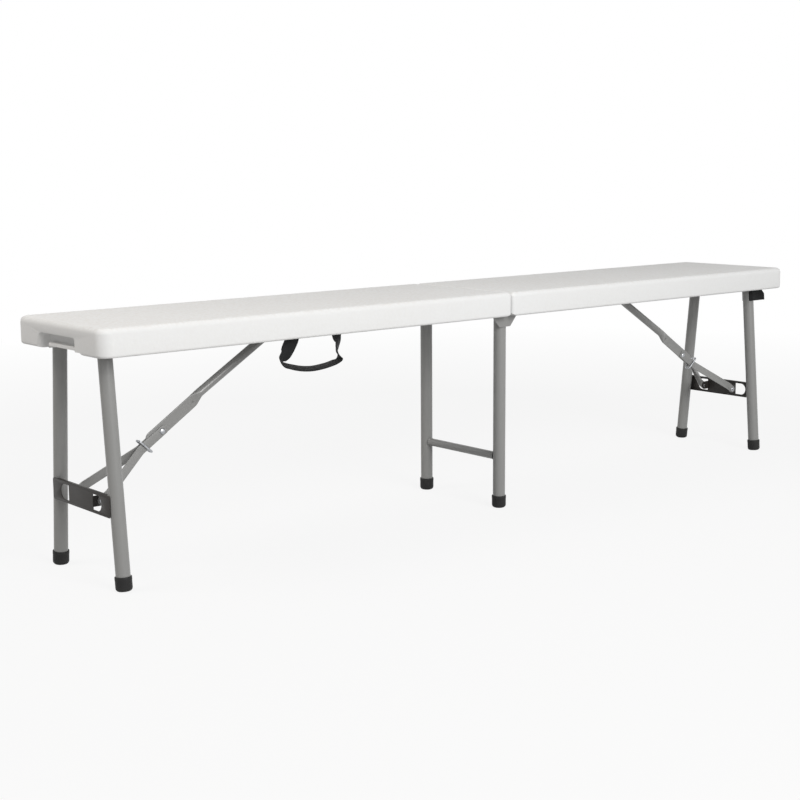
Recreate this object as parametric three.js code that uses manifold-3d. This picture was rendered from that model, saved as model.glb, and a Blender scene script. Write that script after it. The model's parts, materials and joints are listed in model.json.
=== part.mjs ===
// Folding bench: two moulded seat halves hinged on a centre leg frame, with an end leg frame,
// a folding brace and a wire lock ring under each half, a webbing carry strap and a fold clip.
// Millimetres, +Z up. The origin lies on the floor under the middle of the seat, +X runs along
// the bench and -Y is its front. The right side is modelled and the left side is its mirror.
import * as THREE from 'three';
import { mergeVertices } from 'three/addons/utils/BufferGeometryUtils.js';
import Module from 'manifold-3d';

const wasm = await Module();
wasm.setup();

// Clearances and cuts
const gap = 0.3; // between pieces that touch, and round pins
const overrun = 4; // how far a cutting solid runs past a face
const halfTurn = Math.PI;
const quarterTurn = halfTurn / 2;
const degree = halfTurn / 180;
const across = new THREE.Vector3(0, 1, 0);
const up = new THREE.Vector3(0, 0, 1);
const along = new THREE.Vector3(1, 0, 0);

// Seat halves
const seatLength = 1830;
const seatWidth = 295;
const seatHeight = 443;
const slabThickness = 48;
const recessDepth = 36;
const sideRim = 21;
const endRim = 24;
const seamGap = 1.5;
const endCornerRadius = 22;
const seamCornerRadius = 8;
const topEdgeRadius = 10;
const bottomEdgeRadius = 5;
const sharpestCorner = 0.5;
const recessCornerRadius = 12;
const seamChamferLength = 13; // off each half's lower corner at the seam
const seamChamferHeight = 6;
const ribSetback = 20;
const ribThickness = 18;
const ribCornerRadius = 5;
const ribEndClearance = 18; // between the rib's end and the centre leg that folds past it
const edgeSteps = 3;
const cornerSteps = 5;
const tubeSides = 16;
const rivetSides = 12;
const wireSteps = 20;

// Hand pocket in the outer end, open below, with a lip set back across it and a relief under it
const pocketWidth = 120;
const pocketRise = 26.5; // from the rims to the pocket's top
const pocketDepth = 18;
const pocketCornerRadius = 6;
const lipSetback = 9;
const lipRise = 9.5; // from the rims to the lip's top
const lipEndClearance = 12;
const reliefHeight = 4;
const reliefReach = 19; // past the pocket towards the front
const reliefRamp = 5;

// Centre hinge
const hingeRodRadius = 4;
const hingeRodSocket = 10; // how deep a rod end sits in the rim
const hingeOffset = 12; // from the seam to a rod's axis
const foldedGap = 3; // between the two rims when the bench is folded
const hingePlateThickness = 2;
const hingePlateHalfWidth = 33.5;
const hingePlateFootHalfWidth = 15;
const hingePlateHeadHalfWidth = 20;
const hingePlateDrop = 22.5;
const hingePlateSlope = 22;
const hingePlateShoulder = 3;
const hingePlateRimClearance = 0.7;
const hingePlateRise = 19;

// Legs
const legRadius = 12.5;
const legWall = 1.2;
const centreLegTopDrop = 2; // below the rims
const rungRadius = 8;
const rungWall = 1;
const rungHeight = 105.5;
const capWall = 1.8;
const capSole = 4;
const capHeight = 25;
const endLegSetback = 45; // from the bench's end to the end leg pivot
const endPivotDepth = 15; // pivot axis above the rims
const legSaddleClearance = 11.5;
const endLegSplay = 35; // how far a leg's foot stands out past its top
const endLegTopDrop = 2;
const pivotTubeRadius = 9.5;
const pivotTubeWall = 1.5;
const pivotTubeRimClearance = 8.5;
const saddleRimClearance = 12.5;
const saddleThickness = 14;
const saddleWall = 2.5; // round the pivot tube, with the clearance
const saddleFlangeHalfWidth = 24;
const saddleFlangeHeight = 5;

// Crossbar with its bent ears
const crossbarHeight = 38;
const crossbarThickness = 1.5;
const crossbarInset = 12.4; // from the outer sides of the legs to the crossbar's ends
const crossbarCornerRadius = 4;
const crossbarFlange = 5;
const crossbarFlangeInset = 15;
const braceFootDrop = 268; // from the end leg pivot down to the ear rivets
const earSpread = 42;
const earLength = 25;
const earHeight = 19;
const windowLength = 29;
const windowHeight = 27;

// Brace
const braceHeadReturn = 420; // from the end leg pivot back to the upper brace pin
const braceHeadDepth = 17.5; // pin axis above the rims
const braceTubeRadius = 8;
const braceTubeWall = 1.5;
const braceHeadReach = 8;
const bladeHalfWidth = 11.5;
const bladeHalfThickness = 1.5;
const bladeTail = 34;
const bladeTailRound = 12;
const bladeLength = 78;
const bladeTransition = 24;
const bladeHoleRadius = 2.6;
const bladeLift = 2.5; // the blade's middle lies above the rivets' line
const tubeLift = 6; // the tube's middle where the blade begins
const strapHalfWidth = 8.25;
const strapThickness = 2;
const strapKinkReach = 16; // past the blade's tail
const strapFootFlat = 13;
const rivetShankRadius = 2.5;
const rivetHeadRadius = 5.5;
const rivetHeadHeight = 3.2;
const rivetTailRadius = 4.2;
const rivetTailHeight = 1.5;
const bracketPinRadius = 3;
const bracketPinStandOut = 2;
const bracketThickness = 2;
const bracketBaseHalfLength = 18;
const bracketBaseHalfWidth = 26;
const bracketCheekRadius = 9;

// Wire lock ring, open in the plane of the blade
const ringReach = 8; // past the blade's tail
const ringClearance = 0.3;
const ringWireRadius = 1.5;
const ringBend = 2.6;
const ringTilt = 15 * degree;

// Carry strap: flat webbing looped below the front rim of the left half
const webbingWidth = 30;
const webbingThickness = 2;
const webbingSetback = 442; // from the bench's end to the loop's middle
const webbingSpan = 104; // between the two ends
const webbingDrop = 62; // below the rims
const webbingTuck = 25; // up into the recess
const webbingRivetTuck = 14;
const webbingRivetRadius = 2.2;
const webbingHeadRadius = 6;
const webbingHeadHeight = 2.5;
const webbingRivetBite = 10;
const webbingSlack = 0.4; // the webbing bows a little between the rim and a rivet head
const webbingStepsPerPoint = 2;

// Fold clip on the right front leg: one C grips its own leg and the open one the other half's
const clipWall = 2.5;
const clipHeight = 26;
const clipDrop = 35; // from the pivot axis to the clip's middle
const clipFrontGripShare = 0.72; // how far each wall reaches past its leg's middle, of the leg radius
const clipBackGripShare = 0.15;
const clipLipLength = 6;
const clipLipChamfer = 12; // off the top of each lip's outer edge
const clipLipFlare = 4;

// Places that follow from the sizes above
const halfLength = seatLength / 2;
const halfWidth = seatWidth / 2;
const rimZ = seatHeight - slabThickness;
const undersideZ = rimZ + recessDepth;
const rimInnerY = halfWidth - sideRim;
const centreLegSpread = rimInnerY - hingePlateRimClearance - hingePlateThickness - gap - legRadius;
const endLegPlace = halfLength - endLegSetback;
const braceHeadPlace = endLegPlace - braceHeadReturn;
const webbingPlace = halfLength - webbingSetback;
const saddleRadius = pivotTubeRadius + saddleWall;
const saddlePlace = rimInnerY - saddleRimClearance - saddleThickness;
const pivotTubeHalfLength = rimInnerY - pivotTubeRimClearance;
const endLegTopSpread = saddlePlace - legSaddleClearance - legRadius;
const endLegFootSpread = endLegTopSpread + endLegSplay;
const hingeZ = rimZ + hingeOffset - foldedGap / 2;
const pivotZ = rimZ + endPivotDepth;
const braceFoot = new THREE.Vector2(
  endLegPlace + legRadius + gap - (earLength - earHeight / 2),
  pivotZ - braceFootDrop,
);
const braceHead = new THREE.Vector2(braceHeadPlace, rimZ + braceHeadDepth);
const endPivot = new THREE.Vector2(endLegPlace, pivotZ);
const foldedFoot = braceFoot.clone().rotateAround(endPivot, -quarterTurn);
const openReach = braceFoot.distanceTo(braceHead);
const foldedReach = foldedFoot.distanceTo(braceHead);
const strapLength = (openReach - foldedReach) / 2;
const braceLength = (openReach + foldedReach) / 2;
const braceDirection = braceFoot.clone().sub(braceHead).normalize();
const elbow = braceHead.clone().addScaledVector(braceDirection, braceLength);
const legLeanShare = endLegSplay / pivotZ;
const crossbarHalfLength = endLegFootSpread - legLeanShare * braceFoot.y + legRadius - crossbarInset;
const crossbarFlangeHalfLength = crossbarHalfLength - crossbarFlangeInset;
const strapKink = bladeTail + strapKinkReach;
const ringPlace = bladeTail + ringReach;
const ringHalfHeight = bladeHalfWidth + bladeLift + ringClearance + ringWireRadius;
const strapInnerY = bladeHalfThickness + gap;
const strapFootY = earSpread + gap;

const material = (color, roughness, metalness) =>
  new THREE.MeshStandardMaterial({ color, roughness, metalness });
const seatPlastic = material(0xe4e3e0, 0.55, 0);
const greyPaint = material(0x808280, 0.42, 0.35);
const brightSteel = material(0xb4b6b8, 0.3, 0.9);
const blackPlastic = material(0x232323, 0.6, 0);
const blackWebbing = material(0x1f2021, 0.9, 0);

// Turns a closed geometry into a solid, with its faces pointing out.
function toSolid(geometry) {
  const bare = new THREE.BufferGeometry();
  bare.setAttribute('position', geometry.getAttribute('position'));
  if (geometry.index) bare.setIndex(geometry.index);
  const merged = mergeVertices(bare);
  const position = merged.getAttribute('position');
  const corner = [0, 1, 2].map(() => new THREE.Vector3());
  const triangles = [];
  let volume = 0;
  for (let i = 0; i < merged.index.count; i += 3) {
    const ids = [0, 1, 2].map((k) => merged.index.getX(i + k));
    if (new Set(ids).size < 3) continue;
    ids.forEach((id, k) => corner[k].fromBufferAttribute(position, id));
    volume += corner[0].dot(corner[1].clone().cross(corner[2]));
    triangles.push(ids);
  }
  const facing = triangles.map(([a, b, c]) => (volume < 0 ? [a, c, b] : [a, b, c]));
  return new wasm.Manifold(new wasm.Mesh({
    numProp: 3,
    vertProperties: new Float32Array(position.array),
    triVerts: new Uint32Array(facing.flat()),
  }));
}

function toGeometry(solid) {
  const mesh = solid.getMesh();
  const geometry = new THREE.BufferGeometry();
  geometry.setAttribute('position', new THREE.BufferAttribute(new Float32Array(mesh.vertProperties), 3));
  geometry.setIndex(new THREE.BufferAttribute(new Uint32Array(mesh.triVerts), 1));
  const flat = geometry.toNonIndexed();
  flat.computeVertexNormals();
  return flat;
}

const join = (first, ...rest) => rest.reduce((body, other) => body.add(other), first);
const cut = (first, ...rest) => rest.reduce((body, other) => body.subtract(other), first);

// Moves a geometry whose own axes are X, Y, Z to the given axes and origin.
function place(geometry, xAxis, yAxis, origin) {
  const zAxis = xAxis.clone().cross(yAxis);
  const matrix = new THREE.Matrix4().makeBasis(xAxis, yAxis, zAxis).setPosition(origin);
  return geometry.applyMatrix4(matrix);
}

const point = (x, y, z) => new THREE.Vector3(x, y, z);

// A block between two corners.
function block(low, high) {
  const size = high.clone().sub(low);
  const middle = low.clone().add(high).multiplyScalar(0.5);
  return toSolid(new THREE.BoxGeometry(size.x, size.y, size.z).translate(middle.x, middle.y, middle.z));
}

// A round bar from one point to another.
function bar(from, to, radius, sides = tubeSides) {
  const axis = to.clone().sub(from);
  const geometry = new THREE.CylinderGeometry(radius, radius, axis.length(), sides);
  geometry.applyQuaternion(new THREE.Quaternion().setFromUnitVectors(across, axis.clone().normalize()));
  const middle = from.clone().add(to).multiplyScalar(0.5);
  return toSolid(geometry.translate(middle.x, middle.y, middle.z));
}

// A pipe from one point to another, open at both ends.
function pipe(from, to, radius, wall, sides = tubeSides) {
  const direction = to.clone().sub(from).normalize();
  const start = from.clone().addScaledVector(direction, -overrun);
  const end = to.clone().addScaledVector(direction, overrun);
  return cut(bar(from, to, radius, sides), bar(start, end, radius - wall, sides));
}

// A turned piece: [radius, height] pairs, from one point on the axis to another.
function turned(profile, from, direction, sides = rivetSides) {
  const points = profile.map(([radius, height]) => new THREE.Vector2(radius, height));
  const geometry = new THREE.LatheGeometry(points, sides);
  geometry.applyQuaternion(new THREE.Quaternion().setFromUnitVectors(across, direction));
  return toSolid(geometry.translate(from.x, from.y, from.z));
}

// A flat outline raised to a depth along the third axis.
function raised(shape, depth, xAxis, yAxis, origin, curveSegments = cornerSteps) {
  const geometry = new THREE.ExtrudeGeometry(shape, { depth, bevelEnabled: false, curveSegments });
  return toSolid(place(geometry, xAxis, yAxis, origin));
}

function polygon(points) {
  return new THREE.Shape(points.map(([x, y]) => new THREE.Vector2(x, y)));
}

function roundedRectangle(x0, y0, x1, y1, radius) {
  const shape = new THREE.Shape();
  shape.absarc(x1 - radius, y1 - radius, radius, 0, quarterTurn);
  shape.absarc(x0 + radius, y1 - radius, radius, quarterTurn, halfTurn);
  shape.absarc(x0 + radius, y0 + radius, radius, halfTurn, halfTurn + quarterTurn);
  shape.absarc(x1 - radius, y0 + radius, radius, halfTurn + quarterTurn, 2 * halfTurn);
  return shape;
}

// Joins rings of points, one after another, into a closed skin with a fan over each end.
function skin(rings) {
  const count = rings[0].length;
  const positions = rings.flat().flatMap((p) => [p.x, p.y, p.z]);
  const index = [];
  for (let ring = 0; ring + 1 < rings.length; ring += 1) {
    for (let i = 0; i < count; i += 1) {
      const a = ring * count + i;
      const b = ring * count + ((i + 1) % count);
      index.push(a, b, b + count, a, b + count, a + count);
    }
  }
  const last = (rings.length - 1) * count;
  for (let i = 1; i + 1 < count; i += 1) {
    index.push(0, i + 1, i);
    index.push(last, last + i, last + i + 1);
  }
  const geometry = new THREE.BufferGeometry();
  geometry.setAttribute('position', new THREE.Float32BufferAttribute(positions, 3));
  geometry.setIndex(index);
  return toSolid(geometry);
}

// One level of a seat half: a rectangle drawn in by an inset, rounded more at the outer end.
function seatLevel(z, inset) {
  const x0 = seamGap / 2 + inset;
  const x1 = halfLength - inset;
  const y1 = halfWidth - inset;
  const outer = Math.max(endCornerRadius - inset, sharpestCorner);
  const inner = Math.max(seamCornerRadius - inset, sharpestCorner);
  const corners = [
    [x1 - outer, y1 - outer, outer, 0],
    [x0 + inner, y1 - inner, inner, quarterTurn],
    [x0 + inner, inner - y1, inner, halfTurn],
    [x1 - outer, outer - y1, outer, halfTurn + quarterTurn],
  ];
  return corners.flatMap(([x, y, radius, start]) => {
    const arc = [];
    for (let i = 0; i <= cornerSteps; i += 1) {
      const angle = start + (quarterTurn * i) / cornerSteps;
      arc.push(point(x + radius * Math.cos(angle), y + radius * Math.sin(angle), z));
    }
    return arc;
  });
}

function seatHalf() {
  const rings = [];
  for (let i = 0; i <= edgeSteps; i += 1) {
    const angle = (quarterTurn * i) / edgeSteps;
    const z = rimZ + bottomEdgeRadius * (1 - Math.cos(angle));
    rings.push(seatLevel(z, bottomEdgeRadius * (1 - Math.sin(angle))));
  }
  for (let i = 0; i <= edgeSteps; i += 1) {
    const angle = (quarterTurn * i) / edgeSteps;
    const z = seatHeight - topEdgeRadius * (1 - Math.sin(angle));
    rings.push(seatLevel(z, topEdgeRadius * (1 - Math.cos(angle))));
  }
  return cut(skin(rings), recess(), seamRelief(), handPocket(), handRelief(), ...rodSockets());
}

// The hollow under a half, which runs out at the seam and leaves a rib near it.
function recess() {
  const outline = roundedRectangle(
    -recessCornerRadius - overrun,
    -rimInnerY,
    halfLength - endRim,
    rimInnerY,
    recessCornerRadius,
  );
  const ribHalfLength = centreLegSpread - ribEndClearance;
  outline.holes.push(roundedRectangle(
    ribSetback,
    -ribHalfLength,
    ribSetback + ribThickness,
    ribHalfLength,
    ribCornerRadius,
  ));
  return raised(outline, recessDepth + overrun, along, across, point(0, 0, rimZ - overrun));
}

// Takes the lower seam corner back to a chamfer and to an arc round the hinge rod, so that the
// half can swing.
function seamRelief() {
  const reach = hingeOffset - gap;
  const drop = hingeZ - rimZ + overrun;
  const shape = new THREE.Shape();
  shape.moveTo(hingeOffset - reach, hingeZ);
  const end = halfTurn + Math.asin((hingeZ - rimZ) / reach);
  shape.absarc(hingeOffset, hingeZ, reach, halfTurn, end, false);
  shape.lineTo(hingeOffset + reach * Math.cos(end), hingeZ - drop);
  shape.lineTo(-overrun, hingeZ - drop);
  shape.lineTo(-overrun, hingeZ);
  const chamfer = polygon([
    [-overrun, rimZ - overrun],
    [seamChamferLength, rimZ - overrun],
    [seamChamferLength, rimZ],
    [0, rimZ + seamChamferHeight],
    [-overrun, rimZ + seamChamferHeight],
  ]);
  const start = point(0, halfWidth + overrun, 0);
  return join(...[shape, chamfer].map((outline) => (
    raised(outline, seatWidth + 2 * overrun, along, up, start)
  )));
}

function handPocket() {
  const half = pocketWidth / 2;
  const low = rimZ - pocketCornerRadius - overrun;
  const shape = roundedRectangle(-half, low, half, rimZ + pocketRise, pocketCornerRadius);
  const inner = halfLength - pocketDepth;
  const hollow = raised(shape, pocketDepth + overrun, across, up, point(inner, 0, 0));
  const lip = block(
    point(inner - overrun, lipEndClearance - half, low - overrun),
    point(halfLength - lipSetback, half - lipEndClearance, rimZ + lipRise),
  );
  return cut(hollow, lip);
}

function handRelief() {
  const inner = pocketWidth / 2 - lipEndClearance - gap;
  const foot = -pocketWidth / 2 - reliefReach;
  const shape = polygon([
    [foot - reliefRamp - overrun, rimZ - overrun],
    [inner, rimZ - overrun],
    [inner, rimZ + reliefHeight],
    [foot, rimZ + reliefHeight],
    [foot - reliefRamp, rimZ],
  ]);
  const start = halfLength - endRim - overrun;
  return raised(shape, endRim + 2 * overrun, across, up, point(start, 0, 0));
}

function rodSockets() {
  return [-1, 1].map((way) => bar(
    point(hingeOffset, way * (rimInnerY - overrun), hingeZ),
    point(hingeOffset, way * (rimInnerY + hingeRodSocket + gap), hingeZ),
    hingeRodRadius + gap,
  ));
}

function hingeRod() {
  const reach = rimInnerY + hingeRodSocket;
  return bar(point(hingeOffset, -reach, hingeZ), point(hingeOffset, reach, hingeZ), hingeRodRadius);
}

// Trapezoid plate on the outer face of a centre leg, with a hole for each rod.
function hingePlate(way) {
  const foot = rimZ - hingePlateDrop;
  const outline = [
    [hingePlateFootHalfWidth, foot],
    [hingePlateHalfWidth, foot + hingePlateSlope],
    [hingePlateHalfWidth, rimZ + hingePlateShoulder],
    [hingePlateHeadHalfWidth, rimZ + hingePlateRise],
  ];
  const shape = polygon([...outline, ...outline.map(([x, z]) => [-x, z]).reverse()]);
  const inner = centreLegSpread + legRadius + gap;
  const face = way > 0 ? inner + hingePlateThickness : -inner;
  const plate = raised(shape, hingePlateThickness, along, up, point(0, face, 0));
  const holes = [-1, 1].map((side) => bar(
    point(side * hingeOffset, way * (inner - overrun), hingeZ),
    point(side * hingeOffset, way * (inner + hingePlateThickness + overrun), hingeZ),
    hingeRodRadius + gap,
  ));
  return cut(plate, ...holes);
}

// A rubber cup on the foot of a leg, cut flat where it stands.
function footCap(foot, direction) {
  const top = foot.clone().addScaledVector(direction, capHeight);
  const bottom = foot.clone().addScaledVector(direction, -overrun);
  const floor = foot.clone().addScaledVector(direction, capSole);
  const past = top.clone().addScaledVector(direction, overrun);
  const outer = legRadius + gap + capWall;
  const reach = outer + overrun;
  const below = block(point(foot.x - reach, foot.y - reach, -2 * overrun), point(foot.x + reach, foot.y + reach, 0));
  return cut(bar(bottom, top, outer), bar(floor, past, legRadius + gap), below);
}

function centreLeg(way) {
  const y = way * centreLegSpread;
  return pipe(point(0, y, capSole + gap), point(0, y, rimZ - centreLegTopDrop), legRadius, legWall);
}

function centreRung() {
  const reach = centreLegSpread - legRadius - gap;
  return pipe(point(0, -reach, rungHeight), point(0, reach, rungHeight), rungRadius, rungWall);
}

// An end leg leans out towards its foot.
function endLegLine(way) {
  const top = point(endLegPlace, way * endLegTopSpread, pivotZ);
  const foot = point(endLegPlace, way * endLegFootSpread, 0);
  return { foot, top, direction: top.clone().sub(foot).normalize() };
}

function endLeg(way) {
  const { foot, top, direction } = endLegLine(way);
  const start = foot.clone().addScaledVector(direction, capSole + gap);
  const end = top.clone().addScaledVector(direction, -endLegTopDrop);
  const room = pivotTubeRadius + gap;
  const seat = bar(
    point(endLegPlace, -pivotTubeHalfLength, pivotZ),
    point(endLegPlace, pivotTubeHalfLength, pivotZ),
    room,
  );
  return cut(pipe(start, end, legRadius, legWall), seat);
}

function pivotTube() {
  const reach = pivotTubeHalfLength;
  const from = point(endLegPlace, -reach, pivotZ);
  return pipe(from, point(endLegPlace, reach, pivotZ), pivotTubeRadius, pivotTubeWall);
}

// A pillow block under the panel that the pivot tube turns in.
function legSaddle(way) {
  const top = undersideZ - gap;
  const flange = saddleFlangeHalfWidth;
  const shape = new THREE.Shape();
  shape.moveTo(endLegPlace + saddleRadius, pivotZ);
  shape.lineTo(endLegPlace + saddleRadius, top - saddleFlangeHeight);
  shape.lineTo(endLegPlace + Math.min(flange, halfLength - endRim - endLegPlace - gap), top - saddleFlangeHeight);
  shape.lineTo(endLegPlace + Math.min(flange, halfLength - endRim - endLegPlace - gap), top);
  shape.lineTo(endLegPlace - flange, top);
  shape.lineTo(endLegPlace - flange, top - saddleFlangeHeight);
  shape.lineTo(endLegPlace - saddleRadius, top - saddleFlangeHeight);
  shape.lineTo(endLegPlace - saddleRadius, pivotZ);
  shape.absarc(endLegPlace, pivotZ, saddleRadius, halfTurn, 2 * halfTurn, false);
  const start = way > 0 ? saddlePlace + saddleThickness : -saddlePlace;
  const body = raised(shape, saddleThickness, along, up, point(0, start, 0));
  const from = point(endLegPlace, way * (saddlePlace - overrun), pivotZ);
  const to = point(endLegPlace, way * (saddlePlace + saddleThickness + overrun), pivotZ);
  return cut(body, bar(from, to, pivotTubeRadius + gap));
}

// A D shape: straight on the bend line at y 0, round at the far end.
function tongueOutline(length, height) {
  const radius = height / 2;
  const shape = new THREE.Shape();
  shape.moveTo(0, -radius);
  shape.lineTo(length - radius, -radius);
  shape.absarc(length - radius, 0, radius, -quarterTurn, quarterTurn, false);
  shape.lineTo(0, radius);
  return shape;
}

// Pressed crossbar on the outer side of the two legs: a plate with two D windows whose tongues
// are bent in as ears, and a rolled flange along its top.
function crossbar() {
  const faceX = endLegPlace + legRadius + gap;
  const low = braceFoot.y - crossbarHeight / 2;
  const high = braceFoot.y + crossbarHeight / 2;
  const outline = roundedRectangle(-crossbarHalfLength, low, crossbarHalfLength, high, crossbarCornerRadius);
  const plate = raised(outline, crossbarThickness, across, up, point(faceX, 0, 0));
  const thick = crossbarThickness;
  const windows = [-1, 1].map((way) => raised(
    tongueOutline(windowLength, windowHeight),
    thick + 2 * overrun,
    across.clone().multiplyScalar(way),
    up,
    point(way > 0 ? faceX - overrun : faceX + thick + overrun, way * earSpread, braceFoot.y),
  ));
  const ears = [-1, 1].map((way) => raised(
    tongueOutline(earLength, earHeight),
    thick,
    along.clone().negate(),
    up,
    point(faceX + thick / 2, way > 0 ? earSpread - thick : -earSpread, braceFoot.y),
  ));
  const flange = block(
    point(faceX - crossbarFlange, -crossbarFlangeHalfLength, high - thick),
    point(faceX + thick / 2, crossbarFlangeHalfLength, high),
  );
  const reach = earSpread + overrun;
  const holes = bar(
    point(braceFoot.x, -reach, braceFoot.y),
    point(braceFoot.x, reach, braceFoot.y),
    rivetShankRadius + gap,
  );
  return cut(join(cut(plate, ...windows), ...ears, flange), holes);
}

// Domed head, shank and optional tail head, pointing along the axis from the shank's start.
function rivet(start, direction, grip, shank, head, headHeight, tail = 0, tailHeight = 0) {
  const profile = [[0, -tailHeight - gap]];
  if (tail > 0) {
    profile.push([tail, -tailHeight - gap], [tail, -gap], [shank, -gap]);
  } else {
    profile[0][1] = 0;
    profile.push([shank, 0]);
  }
  profile.push([shank, grip + gap]);
  for (let i = 0; i < edgeSteps + 1; i += 1) {
    const angle = (quarterTurn * i) / (edgeSteps + 1);
    profile.push([head * Math.cos(angle), grip + gap + headHeight * Math.sin(angle)]);
  }
  profile.push([0, grip + gap + headHeight]);
  return turned(profile, start, direction);
}

function earRivet(way) {
  const start = point(braceFoot.x, way * (earSpread - crossbarThickness), braceFoot.y);
  const grip = crossbarThickness + gap + strapThickness;
  const direction = across.clone().multiplyScalar(way);
  const tail = [rivetTailRadius, rivetTailHeight];
  return rivet(start, direction, grip, rivetShankRadius, rivetHeadRadius, rivetHeadHeight, ...tail);
}

// The brace is drawn in its own frame: X from the elbow towards the ears, Z square to it and up.
const braceX = point(braceDirection.x, 0, braceDirection.y);
const braceOrigin = point(elbow.x, 0, elbow.y);
const braceMatrix = new THREE.Matrix4()
  .makeBasis(braceX, across, braceX.clone().cross(across))
  .setPosition(braceOrigin);

function intoBrace(solid) {
  return toSolid(toGeometry(solid).applyMatrix4(braceMatrix));
}

// A section of the upper brace: round where it is a tube, flat where it is pressed to a blade.
function braceSection(x, lift, halfTall, halfThick, squareness) {
  const sides = 16;
  const ring = [];
  for (let i = 0; i < sides; i += 1) {
    const angle = (2 * halfTurn * i) / sides;
    const bulge = (value) => Math.sign(value) * Math.abs(value) ** squareness;
    ring.push(point(x, halfThick * bulge(Math.cos(angle)), lift + halfTall * bulge(Math.sin(angle))));
  }
  return ring;
}

function upperBrace() {
  const round = 1;
  const square = 0.35;
  const headEnd = -braceLength - braceHeadReach;
  const tubeEnd = -bladeLength - bladeTransition;
  const liftShare = tubeLift / (tubeEnd + braceLength);
  const rings = [
    braceSection(headEnd, liftShare * -braceHeadReach, braceTubeRadius, braceTubeRadius, round),
  ];
  const steps = 4;
  for (let i = 0; i <= steps; i += 1) {
    const share = i / steps;
    const ease = share * share * (3 - 2 * share);
    rings.push(braceSection(
      tubeEnd + bladeTransition * share,
      THREE.MathUtils.lerp(tubeLift, bladeLift, ease),
      THREE.MathUtils.lerp(braceTubeRadius, bladeHalfWidth, ease),
      THREE.MathUtils.lerp(braceTubeRadius, bladeHalfThickness, ease),
      THREE.MathUtils.lerp(round, square, ease),
    ));
  }
  const roundStart = bladeTail - bladeTailRound;
  for (let i = 0; i <= steps; i += 1) {
    const angle = (quarterTurn * i) / (steps + 1);
    const x = roundStart + bladeTailRound * Math.sin(angle);
    rings.push(braceSection(x, bladeLift, bladeHalfWidth * Math.cos(angle), bladeHalfThickness, square));
  }
  const side = bladeHalfThickness + overrun;
  const tubeSide = braceTubeRadius + overrun;
  const bore = bar(
    point(headEnd - overrun, 0, liftShare * (-braceHeadReach - overrun)),
    point(tubeEnd - braceTubeRadius, 0, tubeLift - liftShare * braceTubeRadius),
    braceTubeRadius - braceTubeWall,
    16,
  );
  const pinHole = bar(
    point(-braceLength, -tubeSide, 0),
    point(-braceLength, tubeSide, 0),
    bracketPinRadius + gap,
  );
  const rivetHole = bar(point(0, -side, 0), point(0, side, 0), rivetShankRadius + gap);
  const smallHole = bar(
    point(-bladeLength, -side, bladeLift),
    point(-bladeLength, side, bladeLift),
    bladeHoleRadius,
    rivetSides,
  );
  return intoBrace(cut(skin(rings), bore, pinHole, rivetHole, smallHole));
}

// A flat strap: beside the blade at the elbow, then splayed out to its ear.
function braceStrap(way) {
  const flatStart = strapLength - strapFootFlat;
  const endX = strapLength + strapHalfWidth;
  const inner = [
    [-strapHalfWidth, strapInnerY],
    [strapKink, strapInnerY],
    [flatStart, strapFootY],
    [endX, strapFootY],
  ];
  const outer = inner.map(([x, y]) => [x, y + strapThickness]).reverse();
  const outline = polygon([...inner, ...outer].map(([x, y]) => [x, way * y]));
  const strip = raised(outline, 2 * strapHalfWidth, along, across, point(0, 0, -strapHalfWidth));
  const ends = roundedRectangle(-strapHalfWidth, -strapHalfWidth, endX, strapHalfWidth, strapHalfWidth);
  const reach = strapFootY + strapThickness + overrun;
  const stadium = raised(ends, 2 * reach, along, up, point(0, reach, 0));
  const holes = [0, strapLength].map((x) => bar(
    point(x, -reach, 0),
    point(x, reach, 0),
    rivetShankRadius + gap,
  ));
  return intoBrace(cut(strip.intersect(stadium), ...holes));
}

// Half of the elbow rivet. The blade's own hole stays free between the two halves.
function elbowRivet(way) {
  const start = point(0, way * strapInnerY, 0);
  const direction = across.clone().multiplyScalar(way);
  return intoBrace(rivet(
    start, direction, strapThickness, rivetShankRadius, rivetHeadRadius, rivetHeadHeight,
  ));
}

// One side of the wire ring: a run across the strap with both ends bent in towards the blade.
function lockRingSide(way) {
  const lean = Math.tan(ringTilt);
  const runY = strapInnerY + strapThickness + gap + ringWireRadius;
  const at = (y, height) => point(ringPlace + height * lean, way * y, height);
  const bendFrom = ringHalfHeight - ringBend;
  const path = new THREE.CurvePath();
  const endY = bladeHalfThickness + gap;
  path.add(new THREE.LineCurve3(at(endY, ringHalfHeight), at(runY - ringBend, ringHalfHeight)));
  path.add(new THREE.QuadraticBezierCurve3(
    at(runY - ringBend, ringHalfHeight), at(runY, ringHalfHeight), at(runY, bendFrom),
  ));
  path.add(new THREE.LineCurve3(at(runY, bendFrom), at(runY, -bendFrom)));
  path.add(new THREE.QuadraticBezierCurve3(
    at(runY, -bendFrom), at(runY, -ringHalfHeight), at(runY - ringBend, -ringHalfHeight),
  ));
  path.add(new THREE.LineCurve3(at(runY - ringBend, -ringHalfHeight), at(endY, -ringHalfHeight)));
  const section = new THREE.Shape();
  section.absarc(0, 0, ringWireRadius, 0, 2 * halfTurn);
  const settings = { steps: wireSteps, curveSegments: 3, extrudePath: path };
  const geometry = new THREE.ExtrudeGeometry(section, settings);
  return intoBrace(toSolid(geometry));
}

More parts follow.
